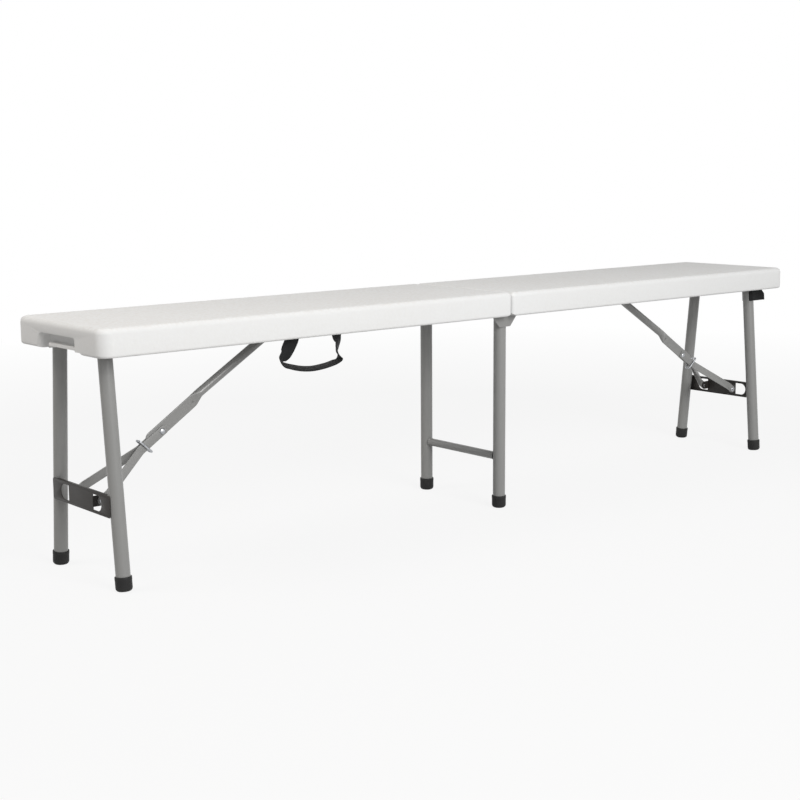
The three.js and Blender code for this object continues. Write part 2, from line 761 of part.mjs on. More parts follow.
// Channel under the panel that holds the upper brace pin.
function braceBracket() {
  const top = undersideZ - gap;
  const base = block(
    point(braceHead.x - bracketBaseHalfLength, -bracketBaseHalfWidth, top - bracketThickness),
    point(braceHead.x + bracketBaseHalfLength, bracketBaseHalfWidth, top),
  );
  const shape = new THREE.Shape();
  shape.moveTo(braceHead.x - bracketCheekRadius, top);
  shape.lineTo(braceHead.x - bracketCheekRadius, braceHead.y);
  shape.absarc(braceHead.x, braceHead.y, bracketCheekRadius, halfTurn, 2 * halfTurn, false);
  shape.lineTo(braceHead.x + bracketCheekRadius, top);
  const inner = braceTubeRadius + gap;
  const cheeks = [inner + bracketThickness, -inner].map((start) => raised(
    shape, bracketThickness, along, up, point(0, start, 0),
  ));
  const reach = inner + bracketThickness + overrun;
  const holes = bar(
    point(braceHead.x, -reach, braceHead.y),
    point(braceHead.x, reach, braceHead.y),
    bracketPinRadius + gap,
  );
  return cut(join(base, ...cheeks), holes);
}

function bracePin() {
  const reach = braceTubeRadius + gap + bracketThickness + bracketPinStandOut;
  return bar(point(braceHead.x, -reach, braceHead.y), point(braceHead.x, reach, braceHead.y), bracketPinRadius);
}

// Fold clip, in the plane square to the right front leg and raised along it.
function foldClip() {
  const inner = legRadius + gap;
  const outer = inner + clipWall;
  const apart = 2 * endPivotDepth + foldedGap;
  const { foot, direction } = endLegLine(-1);
  const low = -clipHeight / 2;
  const high = clipHeight / 2;
  const round = (x, radius, reach) => bar(point(x, 0, low - reach), point(x, 0, high + reach), radius, 24);
  const shape = (points) => raised(polygon(points), clipHeight, along, across, point(0, 0, low));
  const tip = apart + clipLipLength;
  const lips = [-1, 1].map((way) => shape([
    [apart - clipWall, way * inner],
    [apart, way * inner],
    [tip, way * (inner + clipLipFlare)],
    [tip, way * (outer + clipLipFlare)],
    [apart, way * outer],
    [apart - clipWall, way * outer],
  ]));
  const body = join(
    round(0, outer, 0),
    block(point(0, -outer, low), point(apart, outer, high)),
    ...lips,
  );
  const reach = outer + clipLipFlare + overrun;
  const chamfer = raised(polygon([
    [apart, high + overrun],
    [apart, high],
    [tip, high - clipLipChamfer],
    [tip + overrun, high - clipLipChamfer],
    [tip + overrun, high + overrun],
  ]), 2 * reach, along, up, point(0, reach, 0));
  const front = block(
    point(-reach, -reach, low - overrun),
    point(-clipFrontGripShare * legRadius, clipWall, high + overrun),
  );
  const back = block(
    point(-reach, 0, low - overrun),
    point(-clipBackGripShare * legRadius, reach, high + overrun),
  );
  const bores = [0, apart].map((x) => round(x, inner, overrun));
  const clip = cut(body, ...bores, chamfer, front, back);
  const middle = foot.clone().addScaledVector(direction, (pivotZ - clipDrop) / direction.z);
  const sideways = direction.clone().cross(along);
  return toSolid(place(toGeometry(clip), along, sideways, middle));
}

// The webbing loop, from one end to the other: place along the span, drop below the rims (or up
// into the recess, where negative), distance from the rim towards the middle as a share of the
// half width of the webbing, the turn of the webbing's width away from the rim in degrees, and how
// much the width rises for each step away.
const loopShares = [
  [-0.5, -1, 0, 0, 0],
  [-0.5, -0.5, 0.02, 0, 0],
  [-0.5, -0.14, 0.07, 0, 0],
  [-0.515, 0.08, 0.1, 0, 0],
  [-0.569, 0.28, 0.2, 2, 0],
  [-0.624, 0.45, 0.25, 10, 0],
  [-0.695, 0.6, 0.25, 28, 0.05],
  [-0.697, 0.73, 0.2, 62, 0.15],
  [-0.578, 0.82, 0.2, 82, 0.3],
  [-0.4, 0.9, 0.2, 90, 0.3],
  [-0.2, 0.955, 0.2, 90, 0.2],
  [0, 0.965, 0.2, 90, 0.1],
  [0.19, 0.935, 0.2, 90, 0.05],
  [0.39, 0.87, 0.2, 88, 0],
  [0.51, 0.78, 0.2, 72, 0],
  [0.52, 0.68, 0.25, 60, 0],
  [0.49, 0.54, 0.35, 48, 0],
  [0.5, 0.42, 0.4, 42, 0],
  [0.52, 0.24, 0.4, 34, 0],
  [0.5, 0.08, 0.34, 20, 0],
  [0.5, -0.14, 0.1, 0, 0],
  [0.5, -0.5, 0.02, 0, 0],
  [0.5, -1, 0, 0, 0],
];

function carryStrap() {
  const wallY = -rimInnerY + gap + webbingThickness / 2;
  const half = webbingWidth / 2;
  const bottom = webbingDrop - webbingThickness / 2;
  const centres = loopShares.map(([spanShare, dropShare, standShare]) => point(
    webbingPlace * -1 + webbingSpan * spanShare,
    wallY + half * standShare,
    rimZ - (dropShare < 0 ? webbingTuck : bottom) * dropShare,
  ));
  const turns = loopShares.map(([, , , turn]) => turn * degree);
  const leans = loopShares.map(([, , , , lean]) => lean);
  const route = new THREE.CatmullRomCurve3(centres, false, 'centripetal');
  const steps = (loopShares.length - 1) * webbingStepsPerPoint;
  const rings = [];
  for (let i = 0; i <= steps; i += 1) {
    const t = i / steps;
    const where = t * (loopShares.length - 1);
    const before = Math.min(Math.floor(where), loopShares.length - 2);
    const [turn, lean] = [turns, leans].map((list) => (
      THREE.MathUtils.lerp(list[before], list[before + 1], where - before)
    ));
    const tangent = route.getTangent(t);
    const width = point(Math.cos(turn), Math.sin(turn), lean);
    width.addScaledVector(tangent, -width.dot(tangent)).normalize().multiplyScalar(half);
    const thick = tangent.cross(width).normalize().multiplyScalar(webbingThickness / 2);
    const centre = route.getPoint(t);
    rings.push([[1, 1], [-1, 1], [-1, -1], [1, -1]].map(([a, b]) => (
      centre.clone().addScaledVector(width, a).addScaledVector(thick, b)
    )));
  }
  return cut(skin(rings), ...webbingEnds().map((end) => bar(
    point(end.x, end.y - overrun, end.z),
    point(end.x, end.y + overrun, end.z),
    webbingRivetRadius + gap,
    12,
  )));
}

function webbingEnds() {
  return [-1, 1].map((way) => point(
    webbingPlace * -1 + (way * webbingSpan) / 2,
    -rimInnerY + gap + webbingThickness / 2,
    rimZ + webbingRivetTuck,
  ));
}

// A rivet from inside the recess through the webbing into the front rim.
function webbingRivet(end) {
  const start = point(end.x, -rimInnerY - webbingRivetBite, end.z);
  const grip = webbingRivetBite + gap + webbingThickness + webbingSlack;
  return rivet(start, across, grip, webbingRivetRadius, webbingHeadRadius, webbingHeadHeight);
}

function webbingSockets() {
  return webbingEnds().map((end) => bar(
    point(end.x, -rimInnerY - webbingRivetBite - gap, end.z),
    point(end.x, -rimInnerY + overrun, end.z),
    webbingRivetRadius + gap,
    12,
  ));
}

const bench = new THREE.Group();

function add(group, name, solid, finish) {
  const mesh = new THREE.Mesh(toGeometry(solid), finish);
  mesh.name = name;
  group.add(mesh);
}

const ways = { front: -1, back: 1 };

function addCentreFrame(group) {
  for (const [name, way] of Object.entries(ways)) {
    add(group, `centre_leg_${name}`, centreLeg(way), greyPaint);
    add(group, `centre_foot_cap_${name}`, footCap(point(0, way * centreLegSpread, 0), up), blackPlastic);
    add(group, `hinge_plate_${name}`, hingePlate(way), greyPaint);
  }
  add(group, 'centre_rung', centreRung(), greyPaint);
}

function addSide(group, side) {
  add(group, `${side}_hinge_rod`, hingeRod(), brightSteel);
  add(group, `${side}_brace_bracket`, braceBracket(), greyPaint);
  add(group, `${side}_brace_pin`, bracePin(), brightSteel);
  add(group, `${side}_leg_pivot_tube`, pivotTube(), greyPaint);
  add(group, `${side}_crossbar`, crossbar(), greyPaint);
  add(group, `${side}_upper_brace`, upperBrace(), greyPaint);
  for (const [name, way] of Object.entries(ways)) {
    const { foot, direction } = endLegLine(way);
    add(group, `${side}_leg_saddle_${name}`, legSaddle(way), blackPlastic);
    add(group, `${side}_leg_${name}`, endLeg(way), greyPaint);
    add(group, `${side}_foot_cap_${name}`, footCap(foot, direction), blackPlastic);
    add(group, `${side}_ear_rivet_${name}`, earRivet(way), brightSteel);
    add(group, `${side}_brace_strap_${name}`, braceStrap(way), greyPaint);
    add(group, `${side}_elbow_rivet_${name}`, elbowRivet(way), brightSteel);
    add(group, `${side}_lock_ring_${name}`, lockRingSide(way), brightSteel);
  }
}

addCentreFrame(bench);

const right = new THREE.Group();
add(right, 'right_seat', seatHalf(), seatPlastic);
addSide(right, 'right');
add(right, 'fold_clip', foldClip(), blackPlastic);
bench.add(right);

const left = new THREE.Group();
left.scale.x = -1;
const mirroredSockets = webbingSockets().map((socket) => (
  toSolid(toGeometry(socket).applyMatrix4(new THREE.Matrix4().makeScale(-1, 1, 1)))
));
add(left, 'left_seat', cut(seatHalf(), ...mirroredSockets), seatPlastic);
addSide(left, 'left');
bench.add(left);

add(bench, 'carry_strap', carryStrap(), blackWebbing);
webbingEnds().forEach((end, i) => {
  add(bench, `carry_strap_rivet_${['outer', 'inner'][i]}`, webbingRivet(end), brightSteel);
});

bench.updateMatrixWorld(true);

export default bench;
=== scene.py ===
import json
import math

import bmesh
import bpy
from mathutils import Matrix, Vector


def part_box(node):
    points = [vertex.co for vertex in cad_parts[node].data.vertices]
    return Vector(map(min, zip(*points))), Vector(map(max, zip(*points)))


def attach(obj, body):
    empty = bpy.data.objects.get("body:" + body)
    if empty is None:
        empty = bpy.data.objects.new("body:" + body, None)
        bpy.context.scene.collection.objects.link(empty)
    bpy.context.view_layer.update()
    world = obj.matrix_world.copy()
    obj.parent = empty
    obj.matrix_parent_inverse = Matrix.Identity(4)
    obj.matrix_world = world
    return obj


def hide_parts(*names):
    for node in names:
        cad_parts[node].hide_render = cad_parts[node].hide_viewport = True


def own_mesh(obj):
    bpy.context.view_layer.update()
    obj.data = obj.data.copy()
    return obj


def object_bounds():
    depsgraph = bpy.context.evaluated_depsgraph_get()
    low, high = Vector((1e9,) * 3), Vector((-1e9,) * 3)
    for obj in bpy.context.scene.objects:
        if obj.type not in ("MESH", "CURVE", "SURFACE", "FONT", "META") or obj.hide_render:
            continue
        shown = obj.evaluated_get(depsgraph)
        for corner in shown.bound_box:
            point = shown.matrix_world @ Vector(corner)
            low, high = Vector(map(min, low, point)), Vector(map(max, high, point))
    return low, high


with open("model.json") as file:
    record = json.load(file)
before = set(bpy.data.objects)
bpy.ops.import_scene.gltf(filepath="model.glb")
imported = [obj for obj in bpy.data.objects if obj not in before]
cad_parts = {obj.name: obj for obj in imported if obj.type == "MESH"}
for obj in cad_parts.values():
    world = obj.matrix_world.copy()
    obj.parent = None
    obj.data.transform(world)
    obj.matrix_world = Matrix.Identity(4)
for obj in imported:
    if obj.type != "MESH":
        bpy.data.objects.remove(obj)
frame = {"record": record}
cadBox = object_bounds()

# Folding bench. All sizes are millimetres until a mesh is shown, and then metres.
metre = 1000
across = Vector((0, 1, 0))
up = Vector((0, 0, 1))
along = Vector((1, 0, 0))
ways = ("front", "back")
bothWays = (-1, 1)  # down and up an axis
overrun = 5  # how far a cutter goes past what it cuts


def nodeBox(node):  # a CAD node's corners in millimetres
    low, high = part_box(node)
    return Vector(low) * metre, Vector(high) * metre


def jointPlace(name):
    joint = next(j for j in frame["record"]["behaviour"]["joints"] if j["name"] == name)
    return Vector(joint["pos_m"]) * metre


def addObject(name, data):
    holder = bpy.data.objects.new(name, data)
    bpy.context.scene.collection.objects.link(holder)
    return holder


# Camera

camera = {
    "place": (-2.0107, -2.1527, 0.7028),
    "turn": (80.482, 0.384, -40.600),  # degrees
    "lens": 64.41,
    "sensor": 36.0,
}


def addCamera(settings):
    data = bpy.data.cameras.new("camera")
    data.lens = settings["lens"]
    data.sensor_width = settings["sensor"]
    data.sensor_height = settings["sensor"]
    holder = addObject("camera", data)
    holder.location = settings["place"]
    holder.rotation_euler = [math.radians(angle) for angle in settings["turn"]]
    bpy.context.scene.camera = holder


addCamera(camera)
print("camera placed")


# Shader maths

class Wire:  # a shader socket that can stand in plain sums
    def __init__(self, shading, socket):
        self.shading = shading
        self.socket = socket

    def maths(self, operation, first, second=0.0):
        return self.shading.node("ShaderNodeMath", {"operation": operation}, {0: first, 1: second})

    def __add__(self, other):
        return self.maths("ADD", self, other)

    def __radd__(self, other):
        return self.maths("ADD", other, self)

    def __sub__(self, other):
        return self.maths("SUBTRACT", self, other)

    def __rsub__(self, other):
        return self.maths("SUBTRACT", other, self)

    def __mul__(self, other):
        return self.maths("MULTIPLY", self, other)

    def __rmul__(self, other):
        return self.maths("MULTIPLY", other, self)

    def __truediv__(self, other):
        return self.maths("DIVIDE", self, other)

    def __rtruediv__(self, other):
        return self.maths("DIVIDE", other, self)

    def __abs__(self):
        return self.maths("ABSOLUTE", self)

    def sine(self):
        return self.maths("SINE", self)

    def most(self, other):
        return self.maths("MAXIMUM", self, other)


class Shading:  # the nodes of a material or of the world
    def __init__(self, owner):
        owner.use_nodes = True
        self.tree = owner.node_tree
        self.tree.nodes.clear()

    def node(self, kind, settings, sockets, output=0):
        node = self.tree.nodes.new(kind)
        for name, value in settings.items():
            if name == "stops":
                for element, (position, shade) in zip(node.color_ramp.elements, value):
                    element.position = position
                    element.color = (shade, shade, shade, 1)
            else:
                setattr(node, name, value)
        for name, value in sockets.items():
            if isinstance(value, Wire):
                self.tree.links.new(value.socket, node.inputs[name])
            else:
                node.inputs[name].default_value = value
        return Wire(self, node.outputs[output]) if node.outputs else None

    def ramp(self, value, *stops):
        return self.node("ShaderNodeValToRGB", {"stops": stops}, {0: value})

    def background(self):  # 1 where the surroundings are seen straight, in gloss or through glass
        names = ("Is Camera Ray", "Is Glossy Ray", "Is Transmission Ray")
        seen, glossy, through = [self.node("ShaderNodeLightPath", {}, {}, name) for name in names]
        return seen.most(glossy).most(through)


class Finish(Shading):  # a material, with the record's slot that it stands for
    def __init__(self, name, slot):
        self.material = bpy.data.materials.new(name)
        super().__init__(self.material)
        self.slot = slot
        self.place = self.node("ShaderNodeTexCoord", {}, {}, "Object")

    def noise(self, scale, detail=2.0, roughness=0.5):
        sockets = {"Vector": self.place, "Scale": scale, "Detail": detail, "Roughness": roughness}
        return self.node("ShaderNodeTexNoise", {}, sockets)

    def cells(self, scale):
        return self.node("ShaderNodeTexVoronoi", {}, {"Vector": self.place, "Scale": scale})

    def rising(self, value, start, end):  # 0 up to the start, 1 from the end
        return self.ramp(value, (start, 0.0), (end, 1.0))

    def mixed(self, share, first, second):  # between two colours
        return self.node("ShaderNodeMix", {"data_type": "RGBA"}, {0: share, 6: first, 7: second}, 2)

    def bump(self, height, distance):
        return self.node("ShaderNodeBump", {}, {"Height": height, "Distance": distance, "Strength": 1.0})

    def surface(self, **sockets):
        named = {name.replace("_", " "): value for name, value in sockets.items()}
        shader = self.node("ShaderNodeBsdfPrincipled", {}, named)
        self.node("ShaderNodeOutputMaterial", {}, {"Surface": shader})


def shade(red, green, blue):  # a screen colour, 0 to 255, as the renderer's own light
    def light(value):
        value /= 255
        return value / 12.92 if value <= 0.04045 else ((value + 0.055) / 1.055) ** 2.4
    return (light(red), light(green), light(blue), 1)


def uneven(middle, spread, pattern):  # a value that follows a pattern of 0 to 1
    return middle + (pattern - 0.5) * spread


# Finishes. Patterns are counted to the metre, and heights are in metres. A roughness is its middle and
# its spread.

seatLook = {
    "colour": shade(223, 224, 224),
    "dusty": shade(217, 216, 214),
    "roughness": (0.62, 0.12),
    "shine": 0.25,
    "clouds": 3,
    "cloudShade": 0.7,
    "pebble": 170,
    "grain": 510,  # finer than the pebble
    "grainShares": (0.7, 0.3),  # of the pebble and the grain
    "grainMiddle": 0.46,
    "grainShade": 3.4,
    "grainHeight": 0.0011,
    "sideShare": 0.12,  # how much of the grain the sides have
    "topEdge": (0.003, 0.0003),  # below the top, where the grain starts to rise and where it is whole
}


def seatPlastic(look):
    finish = Finish("seatPlastic", "seat_plastic")
    cloudy = finish.noise(look["clouds"], 3.0)
    pebble = finish.cells(look["pebble"])
    fine = finish.noise(look["grain"])
    height = finish.node("ShaderNodeSeparateXYZ", {}, {"Vector": finish.place}, "Z")
    start, whole = [cadBox[1][2] - drop for drop in look["topEdge"]]
    onTop = finish.ramp(height, (start, look["sideShare"]), (whole, 1.0))
    pebbleShare, fineShare = look["grainShares"]
    grain = (pebble * pebbleShare + fine * fineShare - look["grainMiddle"]) * onTop
    share = (cloudy * look["cloudShade"] + grain * look["grainShade"]).most(0.0)
    finish.surface(
        Base_Color=finish.mixed(share, look["colour"], look["dusty"]),
        Roughness=uneven(*look["roughness"], cloudy),
        Normal=finish.bump(grain, look["grainHeight"]),
        Specular_IOR_Level=look["shine"],
    )
    return finish


paintLook = {
    "colour": shade(139, 139, 137),
    "deep": shade(128, 128, 127),
    "roughness": (0.32, 0.16),
    "shine": 0.55,
    "clouds": 18,
    "cloudShare": 0.4,
    "speckle": 900,
    "speckleShare": 0.6,
    "speckleHeight": 0.00002,
}
# The crossbars' grey paint, darkened to stand for the shade that falls on them: painted shade, not a
# darker paint
paintedShadeLook = {
    **paintLook,
    "colour": shade(55, 52, 50),
    "deep": shade(46, 44, 42),
    "roughness": (0.45, 0.16),
    "shine": 0.25,
}


def greyPaint(name, look):
    finish = Finish(name, "grey_paint")
    speckle = finish.noise(look["speckle"], 3.0, 0.6)
    cloudy = finish.noise(look["clouds"])
    share = speckle * look["speckleShare"] + cloudy * look["cloudShare"]
    finish.surface(
        Base_Color=finish.mixed(share, look["colour"], look["deep"]),
        Roughness=uneven(*look["roughness"], cloudy),
        Normal=finish.bump(speckle, look["speckleHeight"]),
        Specular_IOR_Level=look["shine"],
    )
    return finish


zincLook = {
    "bright": shade(196, 198, 201),
    "dull": shade(150, 152, 156),
    "smooth": 0.28,
    "roughBloom": 0.2,
    "bloom": 140,
    "bloomEdges": (0.35, 0.7),
    "scratch": 1600,
    "scratchHeight": 0.00003,
}


def zincSteel(look):
    finish = Finish("zincSteel", "bright_steel")
    bloom = finish.noise(look["bloom"], 4.0, 0.65)
    scratch = finish.noise(look["scratch"], 1.0)
    finish.surface(
        Base_Color=finish.mixed(finish.rising(bloom, *look["bloomEdges"]), look["bright"], look["dull"]),
        Roughness=look["smooth"] + bloom * look["roughBloom"],
        Normal=finish.bump(scratch, look["scratchHeight"]),
        Metallic=1.0,
    )
    return finish


blackLook = {
    "colour": shade(24, 24, 25),
    "worn": shade(36, 36, 37),
    "roughness": (0.5, 0.25),
    "shine": 0.15,
    "wear": 45,
    "wearEdges": (0.45, 0.8),
    "grain": 1300,
    "grainHeight": 0.00006,
}
# The foot caps' black plastic, made lighter for the light that falls on them near the floor: painted
# light
litFootCapLook = {
    **blackLook,
    "colour": shade(42, 42, 42),
    "worn": shade(52, 52, 51),
    "roughness": (0.55, 0.25),
}


def blackPlastic(name, look):
    finish = Finish(name, "black_plastic")
    grain = finish.noise(look["grain"])
    cloudy = finish.noise(look["wear"], 3.0)
    finish.surface(
        Base_Color=finish.mixed(finish.rising(cloudy, *look["wearEdges"]), look["colour"], look["worn"]),
        Roughness=uneven(*look["roughness"], cloudy),
        Normal=finish.bump(grain, look["grainHeight"]),
        Specular_IOR_Level=look["shine"],
    )
    return finish


weaveLook = {
    "colour": shade(8, 9, 10),
    "lit": shade(27, 28, 29),
    "yarnsAcross": 18,
    "picks": 620,
    "ribShares": (0.6, 0.3, 0.25),  # of the warp, the weft and the slanting twill
    "height": 0.00022,
    "fuzz": 900,
    "fuzzHeight": 0.3,  # to a rib's 1
    "shadeShares": (0.6, 0.35, 0.12),  # of the ribs, the fuzz and the darker selvedge
    "selvedge": (0.86, 0.93),
    "rough": 0.86,
    "ribSmooth": 0.18,
    "sheen": 0.06,
    "sheenRoughness": 0.45,
    "shine": 0.25,
}


def webbingCloth(look):
    finish = Finish("webbingCloth", "black_webbing")
    split = {"Vector": finish.node("ShaderNodeUVMap", {"uv_map": "weave"}, {})}
    crossWay = finish.node("ShaderNodeSeparateXYZ", {}, split, "X")
    longWay = finish.node("ShaderNodeSeparateXYZ", {}, split, "Y")
    yarn = crossWay * (look["yarnsAcross"] * math.pi)
    pick = longWay * (look["picks"] * math.pi)
    twill = (yarn + pick).sine() * 0.5 + 0.5
    warp = abs(yarn.sine())
    weft = abs(pick.sine())
    warpShare, weftShare, twillShare = look["ribShares"]
    ribs = warp * warpShare + weft * warp * weftShare + twill * twillShare
    fuzz = finish.noise(look["fuzz"], 3.0)
    selvedge = finish.rising(abs(crossWay - 0.5) * 2, *look["selvedge"])
    ribShade, fuzzShade, selvedgeShade = look["shadeShares"]
    share = ribs * ribShade + fuzz * fuzzShade - selvedge * selvedgeShade
    finish.surface(
        Base_Color=finish.mixed(share, look["colour"], look["lit"]),
        Roughness=look["rough"] - ribs * look["ribSmooth"],
        Normal=finish.bump(ribs + fuzz * look["fuzzHeight"], look["height"]),
        Sheen_Weight=look["sheen"],
        Sheen_Roughness=look["sheenRoughness"],
        Specular_IOR_Level=look["shine"],
    )
    return finish


finishes = {
    "seat": seatPlastic(seatLook),
    "paint": greyPaint("greyPaint", paintLook),
    "darkPaint": greyPaint("darkPaint", paintedShadeLook),
    "zinc": zincSteel(zincLook),
    "black": blackPlastic("blackPlastic", blackLook),
    # The foot caps' plastic is lightened as painted light
    "footCap": blackPlastic("footCapPlastic", litFootCapLook),
    "webbing": webbingCloth(weaveLook),
}
print("finishes made")


# Mesh code

def meshOf(points, faces):
    mesh = bpy.data.meshes.new("shape")
    mesh.from_pydata([tuple(p) for p in points], [], faces)
    return mesh


def loft(rings, closed=False):  # rings of points joined one after another
    count = len(rings[0])
    faces = []
    last = len(rings) if closed else len(rings) - 1
    for ring in range(last):
        here = ring * count
        there = ((ring + 1) % len(rings)) * count
        for i in range(count):
            j = (i + 1) % count
            faces.append((here + i, here + j, there + j, there + i))
    if not closed:
        faces.append(tuple(reversed(range(count))))
        faces.append(tuple(range((len(rings) - 1) * count, len(rings) * count)))
    return outward(meshOf([p for ring in rings for p in ring], faces))


def outward(mesh):
    shape = bmesh.new()
    shape.from_mesh(mesh)
    bmesh.ops.remove_doubles(shape, verts=shape.verts, dist=0.001)
    bmesh.ops.recalc_face_normals(shape, faces=shape.faces)
    shape.to_mesh(mesh)
    shape.free()
    return mesh


def joined(meshes):
    shape = bmesh.new()
    for mesh in meshes:
        shape.from_mesh(mesh)
    result = bpy.data.meshes.new("shape")
    shape.to_mesh(result)
    shape.free()
    return result


def meshFrom(holder):  # what an object shows, as a mesh of its own
    bpy.context.view_layer.update()
    graph = bpy.context.evaluated_depsgraph_get()
    return bpy.data.meshes.new_from_object(holder.evaluated_get(graph))


def worked(mesh, *modifiers):  # a mesh with modifiers run on it, each a kind and its settings
    holder = addObject("work", mesh)
    tools = []
    for kind, settings in modifiers:
        modifier = holder.modifiers.new(kind, kind)
        for name, value in settings.items():
            if isinstance(value, bpy.types.Mesh):
                value = addObject("tool", value)
                tools.append(value)
            setattr(modifier, name, value)
    result = meshFrom(holder)
    for spare in [holder, *tools]:
        bpy.data.objects.remove(spare)
    return result


def carved(mesh, *cutters):
    steps = [("BOOLEAN", {"operation": "DIFFERENCE", "solver": "MANIFOLD", "object": c}) for c in cutters]
    return worked(mesh, *steps)


def softened(mesh, width, steps):  # its sharp edges rounded
    limit = {"limit_method": "ANGLE", "angle_limit": math.radians(40)}
    return worked(mesh, ("BEVEL", {"width": width, "segments": steps, **limit}))


def quarterTurn(steps):  # its angles, from 0 on
    return [math.pi / 2 * i / steps for i in range(steps + 1)]


def wholeTurn(steps):
    return [2 * math.pi * i / steps for i in range(steps)]


def frameOf(direction):  # two axes square to a direction
    direction = direction.normalized()
    side = direction.cross(across if abs(direction.y) < 0.9 else along).normalized()
    return side, direction.cross(side)


def circle(centre, direction, radius, sides):
    side, other = frameOf(direction)
    return [centre + (side * math.cos(a) + other * math.sin(a)) * radius for a in wholeTurn(sides)]


def turned(profile, start, direction, sides=32, closed=False):  # radius and height pairs about an axis
    direction = direction.normalized()
    least = 0.02  # a ring on the axis keeps this radius
    rings = []
    for radius, height in profile:
        rings.append(circle(start + direction * height, direction, max(radius, least), sides))
    return loft(rings, closed)


def tube(start, end, radius, wall, lip=0.5):
    reach = (end - start).length
    inner = radius - wall
    profile = [
        (inner, 0), (radius - lip, 0), (radius, lip),
        (radius, reach - lip), (radius - lip, reach), (inner, reach),
    ]
    return turned(profile, start, end - start, 44, closed=True)


def arc(x, y, radius, start, end, steps):  # degrees
    points = []
    for i in range(steps + 1):
        angle = math.radians(start + (end - start) * i / steps)
        points.append((x + radius * math.cos(angle), y + radius * math.sin(angle)))
    return points


def hole(x, y, radius, sides):  # round, for a plate
    return list(reversed(arc(x, y, radius, 0, 360 - 360 / sides, sides - 1)))


def cornered(x0, y0, x1, y1, left, right, steps):  # a box with a radius for each end
    return [
        *arc(x1 - right, y1 - right, right, 0, 90, steps),
        *arc(x0 + left, y1 - left, left, 90, 180, steps),
        *arc(x0 + left, y0 + left, left, 180, 270, steps),
        *arc(x1 - right, y0 + right, right, 270, 360, steps),
    ]


def roundedBox(x0, y0, x1, y1, radius, steps=8, inset=0):
    return cornered(x0 + inset, y0 + inset, x1 - inset, y1 - inset, radius, radius, steps)


# A flat plate of an outline and any holes, with eased edges
def plate(outlines, thickness, xAxis, yAxis, middle, edge):
    data = bpy.data.curves.new("plate", "CURVE")
    data.dimensions = "2D"
    data.fill_mode = "BOTH"
    data.extrude = thickness / 2 - edge
    data.bevel_depth = edge
    data.bevel_resolution = 1
    data.offset = -edge
    for outline in outlines:
        spline = data.splines.new("POLY")
        spline.points.add(len(outline) - 1)
        for point, (x, y) in zip(spline.points, outline):
            point.co = (x, y, 0, 1)
        spline.use_cyclic_u = True
    holder = addObject("plate", data)
    mesh = meshFrom(holder)
    bpy.data.objects.remove(holder)
    basis = Matrix((xAxis, yAxis, xAxis.cross(yAxis))).transposed().to_4x4()
    mesh.transform(Matrix.Translation(middle) @ basis)
    return outward(mesh)


def frontPlate(outlines, y0, y1, edge):  # a plate that faces the front, from one depth to another
    return plate(outlines, y1 - y0, along, up, Vector((0, (y0 + y1) / 2, 0)), edge)


def acrossBench(outline, reach):  # an outline of x and z, carried from front to back
    return loft([[Vector((x, y, z)) for x, z in outline] for y in (-reach, reach)])


def rod(ends, direction, radius, sides=40):
    return loft([circle(end, direction, radius, sides) for end in ends])


def barAcross(node, place):  # a round bar through a joint's place: its two ends and its radius
    low, high = nodeBox(node)
    return [Vector((place.x, y, place.z)) for y in (low.y, high.y)], (high.z - low.z) / 2


def mirror(mesh, axis):
    copy = mesh.copy()
    copy.transform(Matrix.Scale(-1, 4, axis))
    copy.flip_normals()
    return copy


def show(name, mesh, body, finish, nodes=(), sharp=35):
    mesh = mesh.copy()
    mesh.transform(Matrix.Scale(1 / metre, 4))
    mesh.shade_smooth()
    mesh.set_sharp_from_angle(angle=math.radians(sharp))
    mesh.materials.clear()
    mesh.materials.append(finishes[finish].material)
    mesh.name = name
    piece = addObject(name, mesh)
    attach(piece, body)
    if nodes:
        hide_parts(*nodes)
    return piece


# On the right as drawn, and mirrored on the left
def showSides(name, mesh, body, finish, nodes=(), sharp=35):
    for side in ("right", "left"):
        shape = mesh if side == "right" else mirror(mesh, along)
        sideNodes = [f"{side}_{node}" for node in nodes]
        show(f"{side}{name}", shape, f"{side}_{body}", finish, sideNodes, sharp)


# At the front as drawn, and mirrored to the back, on both sides or in the middle alone
def showWays(name, mesh, body, finish, nodes=(), shown=showSides):
    for way in ways:
        shape = mesh if way == "front" else mirror(mesh, across)
        wayNodes = [f"{node}_{way}" for node in nodes]
        shown(f"{name}{way.title()}", shape, body, finish, wayNodes)


# Seat halves

seatLow, seatHigh = nodeBox("right_seat")
seat = {
    "seam": seatLow.x,  # half of the gap at the seam
    "end": seatHigh.x,
    "half": seatHigh.y,
    "rim": seatLow.z,
    "top": seatHigh.z,
    "recess": 36,
    "sideRim": 21,
    "endRim": 24,
    "endCorner": 22,
    "seamCorner": 8,
    "leastCorner": 0.5,
    "topEdge": 10,
    "bottomEdge": 5,
    "seamChamfer": [(15, -0.4), (12, 0.5), (1.5, 5.3), (0.5, 7.5)],  # from the seam and the rim
    "rodGap": 0.3,
    "cornerSteps": 10,
    "edgeSteps": 8,
}
underside = seat["rim"] + seat["recess"]
rimInner = seat["half"] - seat["sideRim"]
hinge = jointPlace("right_half_fold")
legPivot = jointPlace("right_leg_fold")
braceHead = jointPlace("right_brace_fold")
earPlace = jointPlace("right_strap_fold")


def seatLevel(z, inset):
    half = seat["half"] - inset
    box = (seat["seam"] + inset, -half, seat["end"] - inset, half)
    corners = [max(seat[name] - inset, seat["leastCorner"]) for name in ("seamCorner", "endCorner")]
    return [Vector((x, y, z)) for x, y in cornered(*box, *corners, seat["cornerSteps"])]


def seatBlock():
    rings = []
    angles = quarterTurn(seat["edgeSteps"])
    edge = seat["bottomEdge"]
    for angle in angles:
        rings.append(seatLevel(seat["rim"] + edge * (1 - math.cos(angle)), edge * (1 - math.sin(angle))))
    edge = seat["topEdge"]
    for angle in angles:
        rings.append(seatLevel(seat["top"] - edge * (1 - math.sin(angle)), edge * (1 - math.cos(angle))))
    return loft(rings)


